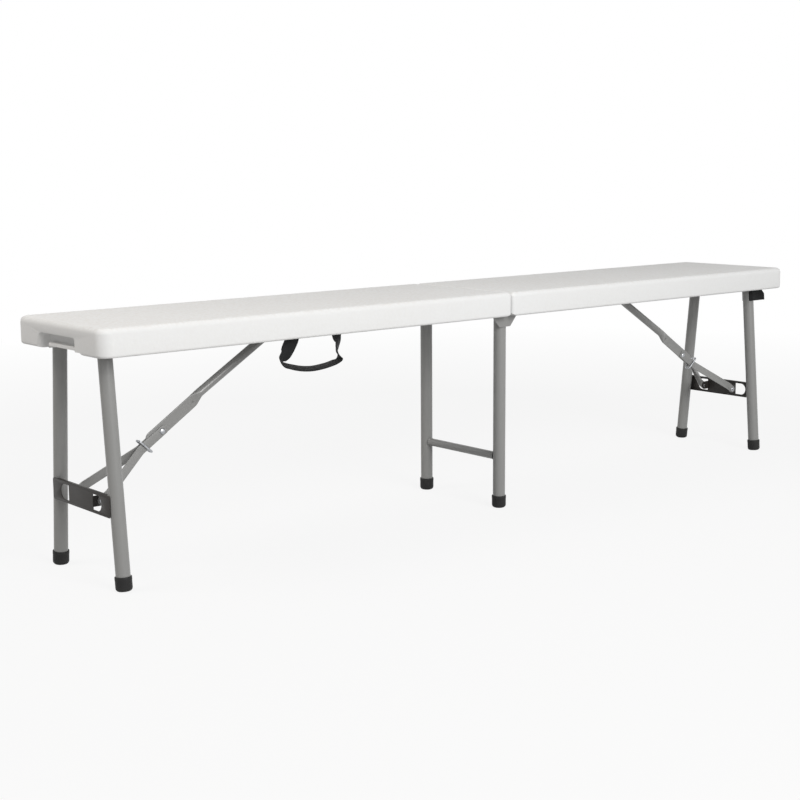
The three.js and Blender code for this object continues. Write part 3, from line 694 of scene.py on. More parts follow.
# Levels are pairs of a depth and an inset
def pocketRings(levels, outlineAt, placeAt):
    return loft([[placeAt(x, y, depth) for x, y in outlineAt(inset)] for depth, inset in levels])


def upFrom(level):  # a pocket that opens downwards at this level
    return lambda x, y, depth: Vector((x, y, level + depth))


recess = {
    "lip": [(-overrun, -1.5), (0, -1.5), (0.6, -0.5), (1.5, 0)],
    "fillet": 4, "filletSteps": 4,
    "corner": 12, "leastCorner": 2,
    "seamEnd": -30,
}


def recessCutter():
    fillet = recess["fillet"]
    levels = [*recess["lip"], (seat["recess"] - fillet, 0)]
    for angle in quarterTurn(recess["filletSteps"])[1:]:
        levels.append((seat["recess"] - fillet * (1 - math.sin(angle)), fillet * (1 - math.cos(angle))))
    end = seat["end"] - seat["endRim"]

    def outline(inset):
        radius = max(recess["corner"] - inset, recess["leastCorner"])
        return roundedBox(recess["seamEnd"], -rimInner, end, rimInner, radius, inset=inset)

    return pocketRings(levels, outline, upFrom(seat["rim"]))


rib = {"box": (20, -92, 38, 92), "corner": 6, "levels": [(0.2, 1), (1.2, 0), (seat["recess"] + 6, -1)]}


def seamRib():
    def outline(inset):
        return roundedBox(*rib["box"], rib["corner"] - inset, inset=inset)

    return pocketRings(rib["levels"], outline, upFrom(seat["rim"]))


dimple = {
    "length": 52, "width": 15, "pitchX": 62, "pitchY": 44, "firstX": 84,
    "levels": [(-2, -1), (0, -1), (1.5, 0.4), (3.5, 3)],
    "endGap": 110,  # left plain at the end, and about the brace's bracket
    "bracketGap": (60, 40),
    "flat": 0.1,  # between the two arcs of an end
}


def moulded(x, y):  # whether a dimple has room there
    gapX, gapY = dimple["bracketGap"]
    nearBracket = abs(x - braceHead.x) < gapX and abs(y) < gapY
    return x < seat["end"] - dimple["endGap"] and not nearBracket


def undersideDimples():
    cutters = []
    for row in range(-2, 3):
        y = row * dimple["pitchY"]
        x = dimple["firstX"] + (dimple["pitchX"] / 2 if row % 2 else 0)
        while x < seat["end"]:
            if moulded(x, y):
                cutters.append(dimpleCutter(x, y))
            x += dimple["pitchX"]
    return joined(cutters)


def dimpleCutter(x, y):
    halfLength = dimple["length"] / 2
    halfWidth = dimple["width"] / 2
    box = (x - halfLength, y - halfWidth, x + halfLength, y + halfWidth)

    def outline(inset):
        return roundedBox(*box, halfWidth - inset - dimple["flat"], 5, inset)

    return pocketRings(dimple["levels"], outline, upFrom(underside))


handPocket = {
    "half": 60, "foot": -10, "rise": 26.5, "depth": 18, "corner": 6,
    "levels": [
        (-4, -1.2), (0, -1.2), (0.4, -0.4), (1.2, 0), (2.5, 0), (5, 0), (8, 0), (16, 0.6), (18, 2.2),
    ],
    "flare": 8,  # how far the far wall leans out at the foot
    "flareDepth": 8,  # how far in it does so
    "farEdge": 5,  # its rounder edge
    "farEdgeFade": 5,  # which ends in the top fifth
    "lipHalf": 48, "lipSetback": 9, "lipFoot": -14, "lipRise": 9.5,
    "lipEdge": 2.5, "lipSoft": 1.2, "lipInto": 4,
    "reliefRise": 4, "reliefFoot": -79, "reliefRamp": 5, "reliefEdge": 3, "reliefGap": 0.3,
    "reliefPast": 4,
}


def handPocketCutter():
    pocket = handPocket

    def outline(inset):
        half = pocket["half"] - inset
        foot = seat["rim"] + pocket["foot"]
        top = seat["rim"] + pocket["rise"] - inset
        return roundedBox(-half, foot, half, top, pocket["corner"] - inset)

    def placed(y, z, depth):
        if y > 0:
            share = max(0, 1 - max(depth, 0) / pocket["flareDepth"]) ** 2
            foot = min(max(1 - (z - seat["rim"]) / pocket["rise"], 0), 1)
            rounder = pocket["farEdge"] * min(foot * pocket["farEdgeFade"], 1)
            y += share * (rounder + pocket["flare"] * foot)
        return Vector((seat["end"] - depth, y, z))

    return carved(pocketRings(pocket["levels"], outline, placed), pocketLip())


def pocketLip():
    pocket = handPocket
    front = seat["end"] - pocket["lipSetback"]
    top = seat["rim"] + pocket["lipRise"]
    edge = pocket["lipEdge"]
    back = seat["end"] - pocket["depth"] - pocket["lipInto"]
    below = seat["rim"] + pocket["lipFoot"]
    outline = [(back, below), (front, below), *arc(front - edge, top - edge, edge, 0, 90, 6), (back, top)]
    return softened(acrossBench(outline, pocket["lipHalf"]), pocket["lipSoft"], 3)


def handReliefCutter():
    pocket = handPocket
    rim = seat["rim"]
    foot = pocket["reliefFoot"]
    top = rim + pocket["reliefRise"]
    last = pocket["lipHalf"] - pocket["reliefGap"]
    edge = pocket["reliefEdge"]
    rampFoot = foot - pocket["reliefRamp"]
    past = pocket["reliefPast"]
    outline = [(rampFoot - past, rim - past), (last, rim - past), (last, top)]
    outline += [*arc(foot + edge, top - edge, edge, 90, 130, 4), (rampFoot, rim)]
    ends = (seat["end"] - seat["endRim"] - overrun, seat["end"] + overrun)
    return loft([[Vector((x, y, z)) for y, z in outline] for x in ends])


def seamCutter():  # the arc about the hinge rod
    reach = hinge.x - seat["rodGap"]
    drop = hinge.z - seat["rim"]
    last = 180 + math.degrees(math.asin(drop / reach))
    outline = arc(hinge.x, hinge.z, reach, 180, last, 10)
    below = seat["rim"] - overrun
    outline += [(outline[-1][0], below), (-overrun, below), (-overrun, hinge.z)]
    return acrossBench(outline, seat["half"] + overrun)


def seamChamferCutter():
    line = seat["seamChamfer"]
    line = [(-overrun, -overrun), (line[0][0], -overrun), *line, (-overrun, line[-1][1])]
    return acrossBench([(x, seat["rim"] + z) for x, z in line], seat["half"] + overrun)


def seatShell():
    cutters = [carved(recessCutter(), seamRib()), undersideDimples()]
    cutters += [handPocketCutter(), handReliefCutter(), seamCutter(), seamChamferCutter()]
    return carved(seatBlock(), *cutters)


showSides("SeatShell", seatShell(), "half", "seat", ["seat"], sharp=28)
print("seat halves made")


# Centre frame

legRadius = 12.5
leg = {
    "wall": 1.2,
    "centreSpread": nodeBox("centre_leg_back")[0].y + legRadius,
    "centreTop": nodeBox("centre_leg_back")[1].z,
    "endTopSpread": 76,
    "endFootSpread": 111,
    "inCap": 4.5,  # how far above the floor the tube starts in its cap
    "topGap": 1.5,  # between an end leg's tube and the pivot's middle
    "saddleFit": 0.1,
    "pivotWall": 1.5,
    "pivotLip": 0.6,
}
footCapSize = {
    "height": 25,
    "radius": 14.6,
    "fit": 0.05,
    "sole": [(14.6, -3), (8, -3), (5.5, 0)],  # in from the radius, and up from the foot
    "soleRound": (5.2, 6),
    "waist": 0.25,
    "band": [(0.25, 7), (0, 5.6), (0, 1), (0.3, 0.3), (0.9, 0)],  # in from the radius, down from the top
    "mouthEdge": 0.4,
    "floor": 5,
}


def footCap(foot, direction):
    size = footCapSize
    radius = size["radius"]
    height = size["height"]
    bore = legRadius + size["fit"]
    inward, rise = size["soleRound"]
    edge = size["mouthEdge"]
    profile = [(radius - x, z) for x, z in size["sole"]]
    for angle in reversed(quarterTurn(6)[:-1]):
        x = size["waist"] + inward * (1 - math.cos(angle))
        profile.append((radius - x, rise - rise * math.sin(angle)))
    profile += [(radius - x, height - z) for x, z in size["band"]]
    profile += [(bore + edge, height), (bore, height - edge), (bore, size["floor"]), (0, size["floor"])]
    mesh = turned(profile, foot, direction, 44)
    for vertex in mesh.vertices:  # the sole is flat on the floor
        vertex.co.z = max(vertex.co.z, 0)
    return mesh


rung = {"endGap": 0.2, "wall": 1, "beadIn": 0.6}


def addCentreFrame():
    body = "centre_frame"
    foot = Vector((0, -leg["centreSpread"], 0))
    top = Vector((0, -leg["centreSpread"], leg["centreTop"]))
    legTube = tube(foot + up * leg["inCap"], top, legRadius, leg["wall"])
    showWays("centreLeg", legTube, body, "paint", ["centre_leg"], show)
    showWays("centreFootCap", footCap(foot, up), body, "footCap", ["centre_foot_cap"], show)
    showWays("hingePlate", hingePlate(), body, "paint", ["hinge_plate"], show)
    low, high = nodeBox("centre_rung")
    height = (low.z + high.z) / 2
    reach = high.y - rung["endGap"]
    radius = (high.z - low.z) / 2
    parts = [tube(Vector((0, -reach, height)), Vector((0, reach, height)), radius, rung["wall"])]
    for way in bothWays:
        parts.append(weldBead(Vector((0, way * (reach - rung["beadIn"]), height)), across, radius))
    show("centreRung", joined(parts), body, "paint", ["centre_rung"])


weld = {"size": 1.4, "squash": 0.7, "ripples": 12, "ripple": 0.18, "sides": 36, "steps": 8}


def weldBead(centre, direction, radius):  # a ripple of weld round a tube's end
    side, other = frameOf(direction)
    rings = []
    for angle in wholeTurn(weld["sides"]):
        outwardWay = side * math.cos(angle) + other * math.sin(angle)
        swell = weld["size"] * (1 + weld["ripple"] * math.sin(weld["ripples"] * angle))
        ring = []
        for turn in wholeTurn(weld["steps"]):
            outer = radius + swell * math.cos(turn) * weld["squash"]
            ring.append(centre + outwardWay * outer + direction * swell * math.sin(turn))
        rings.append(ring)
    return loft(rings, closed=True)


hingePlateSize = {
    "footHalf": 15, "half": 33.5, "headHalf": 20,
    "drop": 22.5, "slope": 22, "shoulder": 3, "rise": 19, "corner": 0.8,
    "bore": 4.3, "edge": 0.4,
}


def eased(corners, radius):  # an outline with its corners rounded
    points = []
    steps = 5
    count = len(corners)
    for i in range(count):
        here = Vector(corners[i])
        before = (Vector(corners[i - 1]) - here).normalized()
        after = (Vector(corners[(i + 1) % count]) - here).normalized()
        half = before.angle(after) / 2
        back = radius / math.tan(half)
        first = here + before * back
        last = here + after * back
        for j in range(steps + 1):
            share = j / steps
            points.append(tuple(first.lerp(here, share).lerp(here.lerp(last, share), share)))
    return points


def hingePlate():
    size = hingePlateSize
    foot = seat["rim"] - size["drop"]
    right = [
        (size["footHalf"], foot), (size["half"], foot + size["slope"]),
        (size["half"], seat["rim"] + size["shoulder"]), (size["headHalf"], seat["rim"] + size["rise"]),
    ]
    corners = right + [(-x, z) for x, z in reversed(right)]
    holes = [hole(way * hinge.x, hinge.z, size["bore"], 36) for way in bothWays]
    low, high = nodeBox("hinge_plate_front")
    return frontPlate([eased(corners, size["corner"]), *holes], low.y, high.y, size["edge"])


def domedRivet(start, direction, shank, grip, head, height):
    edge = 0.25  # the rim of its head, which leans out
    under = 0.96  # share of its radius
    profile = [(0, 0), (shank, 0), (shank, grip), (head * under, grip), (head, grip + edge)]
    for angle in quarterTurn(8)[1:-1]:
        profile.append((head * math.cos(angle), grip + edge + (height - edge) * math.sin(angle)))
    profile.append((0, grip + height))
    return turned(profile, start, direction)


hingeRodSize = {"bore": 0.5, "lip": 0.8}  # nearly solid


def hingeRod():
    ends, radius = barAcross("right_hinge_rod", hinge)
    return tube(*ends, radius, radius - hingeRodSize["bore"], hingeRodSize["lip"])


addCentreFrame()
showSides("HingeRod", hingeRod(), "half", "zinc", ["hinge_rod"])
print("centre frame made")


# End leg frames

def endLegLine():  # the front leg, from its foot to the pivot
    foot = Vector((legPivot.x, -leg["endFootSpread"], 0))
    top = Vector((legPivot.x, -leg["endTopSpread"], legPivot.z))
    return foot, top, (top - foot).normalized()


def pivotTube():
    ends, radius = barAcross("right_leg_pivot_tube", legPivot)
    return tube(*ends, radius, leg["pivotWall"], leg["pivotLip"])


def endLeg():
    foot, top, direction = endLegLine()
    body = tube(foot + direction * leg["inCap"], top - direction * leg["topGap"], legRadius, leg["wall"])
    ends, radius = barAcross("right_leg_pivot_tube", legPivot)
    return carved(body, rod(ends, across, radius + leg["saddleFit"]))


saddle = {"flangeHeight": 5, "radius": 12, "bore": 9.8, "fillet": 4, "edge": 0.6, "screwIn": 4.5}


def legSaddle():
    low, high = nodeBox("right_leg_saddle_front")
    x = legPivot.x
    z = legPivot.z
    radius = saddle["radius"]
    fillet = saddle["fillet"]
    lower = high.z - saddle["flangeHeight"]
    start = x - radius - fillet
    outline = [(high.x, lower), (high.x, high.z), (low.x, high.z), (low.x, lower), (start, lower)]
    outline += arc(start, lower - fillet, fillet, 90, 0, 4)[1:]
    outline += arc(x, z, radius, 180, 360, 24)
    outline += [(x + radius, lower)]
    body = frontPlate([outline, hole(x, z, saddle["bore"], 45)], low.y, high.y, saddle["edge"])
    return body, screwHead(Vector((low.x + saddle["screwIn"], (low.y + high.y) / 2, lower)))


screwSize = {
    "radius": 3.6, "sunk": 1.5, "rim": 0.3, "dome": 1.8,
    "slotHalf": 1.98, "slotWidth": 0.45, "slotDepths": (-1.1, 1.0),
}


def screwHead(start):  # a domed head, facing down, with a cross recess
    size = screwSize
    radius, rim, dome = size["radius"], size["rim"], size["dome"]
    profile = [(0, -size["sunk"]), (radius, -size["sunk"]), (radius, rim)]
    for angle in quarterTurn(6)[1:-1]:
        profile.append((radius * math.cos(angle), rim + dome * math.sin(angle)))
    profile.append((0, rim + dome))
    head = turned(profile, start, -up, 24)
    side, other = frameOf(-up)
    slots = []
    for first, second in ((side, other), (other, side)):
        rings = []
        for depth in size["slotDepths"]:
            centre = start - up * (rim + dome) - up * depth
            rings.append([centre + first * a * size["slotHalf"] + second * b * size["slotWidth"]
                          for a, b in ((1, 1), (-1, 1), (-1, -1), (1, -1))])
        slots.append(loft(rings))
    return carved(head, *slots)


crossbar = {
    "corner": 4, "sheet": 1.5, "edge": 0.35, "legGap": 0.3,
    "flange": 5, "flangeHalf": 84, "flangeInto": 0.7, "flangeCorner": 2,
    "ear": 42, "earSize": (25, 9.5), "windowSize": (29, 13.5),
}


def tongue(flip, size):  # the outline of a window, or of the ear bent out of it
    reach, half = size
    return [(0, -half), *[(flip * x, y) for x, y in arc(reach - half, 0, half, -90, 90, 20)], (0, half)]


def crossbarPlate():
    size = crossbar
    sheet = size["sheet"]
    low, high = nodeBox("right_crossbar")
    sheetX = legPivot.x + legRadius + size["legGap"] + sheet / 2
    half = (high.z - low.z) / 2

    def pressed(outlines, xAxis, yAxis, middle):
        return plate(outlines, sheet, xAxis, yAxis, middle, size["edge"])

    outlines = [roundedBox(-high.y, -half, high.y, half, size["corner"])]
    for way in bothWays:
        outlines.append([(way * size["ear"] + x, y) for x, y in tongue(way, size["windowSize"])])
    parts = [pressed(outlines, across, up, Vector((sheetX, 0, earPlace.z)))]
    halfFlange = size["flange"] / 2
    wide = halfFlange + size["flangeInto"]
    outline = roundedBox(-size["flangeHalf"], -wide, size["flangeHalf"], wide, size["flangeCorner"])
    place = Vector((sheetX - halfFlange, 0, earPlace.z + half - sheet / 2))
    parts.append(pressed([outline], across, -along, place))
    for way in bothWays:
        place = Vector((sheetX, way * (size["ear"] - sheet / 2), earPlace.z))
        parts.append(pressed([tongue(-1, size["earSize"])], along, up, place))
    return joined(parts)


rivets = {  # radius of the shank, grip, radius of the head, and its height
    "earOuter": (2.5, 4.2, 5.5, 3.0),
    "earInner": (2.5, 0.3, 3.4, 0.8),
    "elbow": (2.5, 2.1, 5.5, 3.1),
}


def earRivet():
    start = Vector((earPlace.x, crossbar["sheet"] - crossbar["ear"], earPlace.z))
    outer = domedRivet(start, -across, *rivets["earOuter"])
    inner = domedRivet(start, across, *rivets["earInner"])
    return joined([outer, inner])


def addEndLegs():
    foot, _, direction = endLegLine()
    showSides("PivotTube", pivotTube(), "leg_frame", "paint", ["leg_pivot_tube"])
    # The crossbars take the grey paint darkened as painted shade
    showSides("Crossbar", crossbarPlate(), "leg_frame", "darkPaint", ["crossbar"])
    showWays("Leg", endLeg(), "leg_frame", "paint", ["leg"])
    showWays("FootCap", footCap(foot, direction), "leg_frame", "footCap", ["foot_cap"])
    showWays("EarRivet", earRivet(), "leg_frame", "zinc", ["ear_rivet"])
    body, screw = legSaddle()
    showWays("LegSaddle", body, "half", "black", ["leg_saddle"])
    showWays("SaddleScrew1", screw, "half", "zinc")


addEndLegs()
print("end leg frames made")


# Braces

def braceSizes():  # the elbow reaches the ear with the leg out and with it folded
    reach = earPlace - braceHead
    drop = earPlace - legPivot
    foldedFoot = legPivot + Vector((drop.z, 0, -drop.x))
    folded = (foldedFoot - braceHead).length
    length = (reach.length + folded) / 2
    direction = reach.normalized()
    return {
        "brace": length,
        "strap": (reach.length - folded) / 2,
        "direction": direction,
        "elbow": braceHead + direction * length,
    }


brace = braceSizes()
braceSide = brace["direction"].cross(across).normalized()  # square to the brace, upwards
if braceSide.z < 0:
    braceSide.negate()
upper = {
    "radius": 8, "wall": 1.5, "reach": 8,
    "bladeHalf": 11.5, "bladeThick": 1.5, "tail": 34, "tailRound": 12, "blade": 78, "taper": 24,
    "bladeLift": 2.5, "tubeLift": 6, "squareness": 0.28, "endEdge": 0.6, "bore": 190,
    "headHole": 3.1, "elbowHole": 2.6, "smallHole": 2.6, "wallsApart": 0.3,
}
strap = {
    "half": 8.25, "thick": 2, "edge": 0.35, "kink": 50, "footFlat": 13, "inner": 1.8, "footY": 42.3,
    "elbowCorner": 3,
    "endHalf": 0.4,  # the half height that is left at the very ends
    "edgeShare": 0.45,  # of the half height, at most
    "bendShare": 0.05,  # rounds the two bends
}


def inBrace(s, y, height):
    return brace["elbow"] + brace["direction"] * s + across * y + braceSide * height


def braceSection(s, lift, tall, thick, squareness):
    ring = []
    for angle in wholeTurn(40):
        y = math.copysign(abs(math.cos(angle)) ** squareness, math.cos(angle))
        height = math.copysign(abs(math.sin(angle)) ** squareness, math.sin(angle))
        ring.append(inBrace(s, thick * y, lift + tall * height))
    return ring


def upperBrace():
    size = upper
    start = -brace["brace"] - size["reach"]
    tubeEnd = -size["blade"] - size["taper"]
    liftShare = size["tubeLift"] / (tubeEnd + brace["brace"])
    lift = -liftShare * size["reach"]
    edge = size["endEdge"]
    rings = [braceSection(start, lift, size["radius"] - edge, size["radius"] - edge, 1)]
    rings.append(braceSection(start + edge, lift, size["radius"], size["radius"], 1))
    steps = 12
    for i in range(steps + 1):
        share = i / steps
        ease = share * share * (3 - 2 * share)  # slow at both ends
        tall = size["radius"] + (size["bladeHalf"] - size["radius"]) * ease
        thick = size["radius"] + (size["bladeThick"] - size["radius"]) * ease
        lift = size["tubeLift"] + (size["bladeLift"] - size["tubeLift"]) * ease
        squareness = 1 - (1 - size["squareness"]) * ease
        rings.append(braceSection(tubeEnd + size["taper"] * share, lift, tall, thick, squareness))
    roundStart = size["tail"] - size["tailRound"]
    for angle in quarterTurn(steps)[:-1]:
        tall = size["bladeHalf"] * math.cos(angle)
        s = roundStart + size["tailRound"] * math.sin(angle)
        rings.append(braceSection(s, size["bladeLift"], tall, size["bladeThick"], size["squareness"]))
    boreLine = brace["direction"] + braceSide * liftShare
    past = 4  # how far the holes' cutters go past the brace
    places = (start - past, start + size["bore"])
    boreEnds = [inBrace(s, 0, liftShare * (s + brace["brace"])) for s in places]
    cutters = [rod(boreEnds, boreLine, size["radius"] - size["wall"])]
    reach = size["radius"] + past
    for s, radius in ((-brace["brace"], size["headHole"]), (0, size["elbowHole"])):
        cutters.append(rod([inBrace(s, way * reach, 0) for way in bothWays], across, radius, 28))
    for way in bothWays:  # the small hole stops short of the middle, where the pressed walls meet
        depths = (way * size["wallsApart"], way * reach)
        ends = [inBrace(-size["blade"], y, size["bladeLift"]) for y in depths]
        cutters.append(rod(ends, across, size["smallHole"], 28))
    return carved(loft(rings), *cutters)


def strapLine(s):  # how far the strap's inner face stands from the middle
    first = strap["kink"]
    last = brace["strap"] - strap["footFlat"]
    share = min(max((s - first) / (last - first), 0), 1)
    soft = strap["bendShare"]
    if share < soft:
        share = share * share / (2 * soft)
    elif share > 1 - soft:
        share = 1 - soft - (1 - share) ** 2 / (2 * soft)
    else:
        share -= soft / 2
    return strap["inner"] + (strap["footY"] - strap["inner"]) * share / (1 - soft)


def strapMesh():
    half = strap["half"]
    first = -half
    last = brace["strap"] + half
    steps = 60
    angles = quarterTurn(12)
    places = [first + half * (1 - math.cos(angle)) for angle in angles]
    places += [first + half + (last - first - 2 * half) * i / steps for i in range(1, steps)]
    places += [last - half + half * math.sin(angle) for angle in angles]
    rings = []
    for s in places:
        corner = strap["elbowCorner"] if s - first < half else half
        fromEnd = min(s - first, last - s, corner)
        bulge = math.sqrt(max(corner * corner - (corner - fromEnd) ** 2, 0))
        tall = half - corner + max(bulge, strap["endHalf"])
        inner = strapLine(s)
        ring = []
        edge = min(strap["edge"], tall * strap["edgeShare"])
        for y, height in roundedBox(-strap["thick"] / 2, -tall, strap["thick"] / 2, tall, edge, 2):
            ring.append(inBrace(s, -(inner + strap["thick"] / 2 + y), height))
        rings.append(ring)
    return loft(rings)


def elbowRivet():
    return domedRivet(inBrace(0, -strap["inner"], 0), -across, *rivets["elbow"])


lockRingSize = {"place": 42, "half": 15.8, "wire": 1.9, "bend": 3.2, "tilt": 15, "gap": 0.3, "endY": 1.8}


def lockRing():
    size = lockRingSize
    lean = math.tan(math.radians(size["tilt"]))
    half = size["half"]
    bend = size["bend"]
    bendY = strap["inner"] + strap["thick"] + size["gap"] + size["wire"] - bend
    line = [(size["endY"], half), (bendY, half)]
    for angle in quarterTurn(8)[1:]:
        line.append((bendY + bend * math.sin(angle), half - bend + bend * math.cos(angle)))
    line += [(y, -height) for y, height in reversed(line)]
    points = [inBrace(size["place"] + height * lean, -y, height) for y, height in line]
    return wireAlong(points, size["wire"])


def wireAlong(points, radius):
    rings = []
    angles = wholeTurn(14)
    for i, point in enumerate(points):
        direction = (points[min(i + 1, len(points) - 1)] - points[max(i - 1, 0)]).normalized()
        side = direction.cross(brace["direction"]).normalized()
        other = direction.cross(side)
        rings.append([point + (side * math.cos(a) + other * math.sin(a)) * radius for a in angles])
    return loft(rings)


bracket = {
    "halfLength": 18, "halfWidth": 26, "corner": 5, "thick": 2, "edge": 0.35, "gap": 0.3,
    "cheek": 9, "cheekInto": 0.2,
    "screwX": 9, "screwY": -19,
}


def braceBracket():
    size = bracket
    thick = size["thick"]
    top = underside - size["gap"]
    x, z = braceHead.x, braceHead.z
    length, width = size["halfLength"], size["halfWidth"]
    foot = roundedBox(-length, -width, length, width, size["corner"])
    parts = [plate([foot], thick, along, across, Vector((x, 0, top - thick / 2)), size["edge"])]
    radius = size["cheek"]
    start = top - size["cheekInto"]
    cheek = [(x + radius, start), (x - radius, start), *arc(x, z, radius, 180, 360, 20)]
    for way in bothWays:
        middle = Vector((0, way * (upper["radius"] + size["gap"] + thick / 2), 0))
        parts.append(plate([cheek], thick, along, up, middle, size["edge"]))
    return joined(parts)


def bracePin():
    low, high = nodeBox("right_brace_pin")
    radius = (high.z - low.z) / 2
    reach = high.y
    edge = 0.5
    profile = [(0, -reach), (radius - edge, -reach), (radius, edge - reach), (radius, reach - edge)]
    profile += [(radius - edge, reach), (0, reach)]
    return turned(profile, Vector((braceHead.x, 0, braceHead.z)), across)


def addBraces():
    showSides("UpperBrace", upperBrace(), "upper_brace", "paint", ["upper_brace"])
    showWays("BraceStrap", strapMesh(), "brace_straps", "paint", ["brace_strap"])
    showWays("ElbowRivet", elbowRivet(), "brace_straps", "zinc", ["elbow_rivet"])
    showWays("LockRing", lockRing(), "lock_ring", "zinc", ["lock_ring"])
    showSides("BraceBracket", braceBracket(), "half", "paint", ["brace_bracket"])
    showSides("BracePin", bracePin(), "half", "zinc", ["brace_pin"])
    lower = underside - bracket["gap"] - bracket["thick"]
    for number, way in enumerate(bothWays, 1):
        place = Vector((braceHead.x + way * bracket["screwX"], bracket["screwY"], lower))
        showWays(f"BracketScrew{number}", screwHead(place), "half", "zinc")


addBraces()
print("braces made")


# Fold clip on the right front leg

clip = {
    "inner": 12.8, "outer": 15.3, "height": 26, "drop": 35, "apart": 33,
    "frontGrip": 9, "backGrip": 1.9, "lip": 6, "lipEdge": 0.6, "flare": 4, "chamfer": 12, "edge": 0.5,
}


def foldClip():
    foot, _, direction = endLegLine()
    inner, outer, apart = clip["inner"], clip["outer"], clip["apart"]
    tip = apart + clip["lip"]
    side = outer + clip["flare"]
    edge = clip["lipEdge"]

    def gripAngle(radius, grip):
        return math.degrees(math.acos(-clip[grip] / radius))

    lip = [(apart, outer), (tip - edge, side), (tip, side - edge), (tip, inner + clip["flare"])]
    outline = arc(0, 0, outer, gripAngle(outer, "backGrip"), 90, 6)
    outline += lip
    outline += arc(apart, 0, inner, 90, 270, 30)
    outline += [(x, -y) for x, y in reversed(lip)]
    outline += arc(0, 0, outer, -90, -gripAngle(outer, "frontGrip"), 8)
    outline += arc(0, 0, inner, -gripAngle(inner, "frontGrip"), gripAngle(inner, "backGrip"), 44)
    middle = foot + direction * ((legPivot.z - clip["drop"]) / direction.z)
    sideways = direction.cross(along)
    body = plate([outline], clip["height"], along, sideways, middle, clip["edge"])
    high = clip["height"] / 2
    past = 4
    wedge = [(apart, high + past), (apart, high), (tip, high - clip["chamfer"])]
    wedge += [(tip + past, high - clip["chamfer"]), (tip + past, high + past)]
    rings = []
    for y in (-side - past, side + past):
        rings.append([middle + along * x + sideways * y + direction * z for x, z in wedge])
    return carved(body, loft(rings))


show("foldClip", foldClip(), "right_leg_frame", "black", ["fold_clip"])
print("fold clip made")


# Carry strap: one length of webbing looped under the front rim of the left half

webbing = {
    "width": 30, "thick": 1.8, "edge": 0.7, "place": -473, "span": 104, "drop": 61, "tuck": 25,
    "wallGap": 1.3,  # from the rim's inner wall to the strap's middle
    "stepsPerPoint": 8,
}
# Share of the span, share of the drop, stand from the rim by the half width, turn in degrees, and
# how much the width rises for each step away
loopShares = [
    (-0.5, -1, 0, 0, 0),
    (-0.5, -0.5, 0.02, 0, 0),
    (-0.5, -0.14, 0.07, 0, 0),
    (-0.515, 0.08, 0.1, 0, 0),
    (-0.569, 0.28, 0.2, 2, 0),
    (-0.624, 0.45, 0.25, 10, 0),
    (-0.695, 0.6, 0.25, 28, 0.05),
    (-0.697, 0.73, 0.2, 62, 0.15),
    (-0.578, 0.82, 0.2, 82, 0.3),
    (-0.4, 0.9, 0.2, 90, 0.3),
    (-0.2, 0.955, 0.2, 90, 0.2),
    (0, 0.965, 0.2, 90, 0.1),
    (0.19, 0.935, 0.2, 90, 0.05),
    (0.39, 0.87, 0.2, 88, 0),
    (0.51, 0.78, 0.2, 72, 0),
    (0.52, 0.68, 0.25, 60, 0),
    (0.49, 0.54, 0.35, 48, 0),
    (0.5, 0.42, 0.4, 42, 0),
    (0.52, 0.24, 0.4, 34, 0),
    (0.5, 0.08, 0.34, 20, 0),
    (0.5, -0.14, 0.1, 0, 0),
    (0.5, -0.5, 0.02, 0, 0),
    (0.5, -1, 0, 0, 0),
]


def smoothRoute(points, turns, steps):  # a curve through the points, with turn and lean carried along
    padded = [points[0] * 2 - points[1], *points, points[-1] * 2 - points[-2]]
    route = []
    for i in range(len(points) - 1):
        p0, p1, p2, p3 = padded[i:i + 4]
        t0, t1 = 0.0, math.sqrt((p1 - p0).length)
        t2 = t1 + math.sqrt((p2 - p1).length)
        t3 = t2 + math.sqrt((p3 - p2).length)
        count = steps if i < len(points) - 2 else steps + 1
        for j in range(count):
            t = t1 + (t2 - t1) * j / steps
            a1 = p0.lerp(p1, (t - t0) / (t1 - t0))
            a2 = p1.lerp(p2, (t - t1) / (t2 - t1))
            a3 = p2.lerp(p3, (t - t2) / (t3 - t2))
            b1 = a1.lerp(a2, (t - t0) / (t2 - t0))
            b2 = a2.lerp(a3, (t - t1) / (t3 - t1))
            share = j / steps
            turn = [first + (last - first) * share for first, last in zip(turns[i], turns[i + 1])]
            route.append((b1.lerp(b2, (t - t1) / (t2 - t1)), turn))
    return route


def carryStrap():
    half = webbing["width"] / 2
    wall = -rimInner + webbing["wallGap"]
    centres = []
    turns = []
    for span, drop, stand, turn, lean in loopShares:
        height = seat["rim"] - (webbing["tuck"] if drop < 0 else webbing["drop"]) * drop
        centres.append(Vector((webbing["place"] + webbing["span"] * span, wall + half * stand, height)))
        turns.append((math.radians(turn), lean))
    route = smoothRoute(centres, turns, webbing["stepsPerPoint"])
    section = roundedBox(-half, -webbing["thick"] / 2, half, webbing["thick"] / 2, webbing["edge"], 2)
    rings = []
    distances = [0]
    for i, (centre, (turn, lean)) in enumerate(route):
        before = route[max(i - 1, 0)][0]
        after = route[min(i + 1, len(route) - 1)][0]
        tangent = (after - before).normalized()
        if i:
            distances.append(distances[-1] + (centre - before).length)
        widthWay = Vector((math.cos(turn), math.sin(turn), lean))
        widthWay = (widthWay - tangent * widthWay.dot(tangent)).normalized()
        thickWay = tangent.cross(widthWay)
        rings.append([centre + widthWay * a + thickWay * b for a, b in section])
    mesh = loft(rings)
    weave = mesh.uv_layers.new(name="weave")
    count = len(section)
    for loop in mesh.loops:
        step, place = divmod(loop.vertex_index, count)
        step = min(step, len(distances) - 1)
        weave.data[loop.index].uv = (section[place][0] / webbing["width"] + 0.5, distances[step] / metre)
    return mesh, distances[-1]


strapRivetSize = {
    "washer": [(3, 0), (7, 0), (7.2, 0.2), (7.2, 0.6), (7, 0.8), (3, 0.8)],  # radius and height
    "washerY": 2.4,  # from the rim's inner wall
    "sunk": 8,
    "shank": 2.2,
    "grip": 11.1,
    "head": 5.6,
}


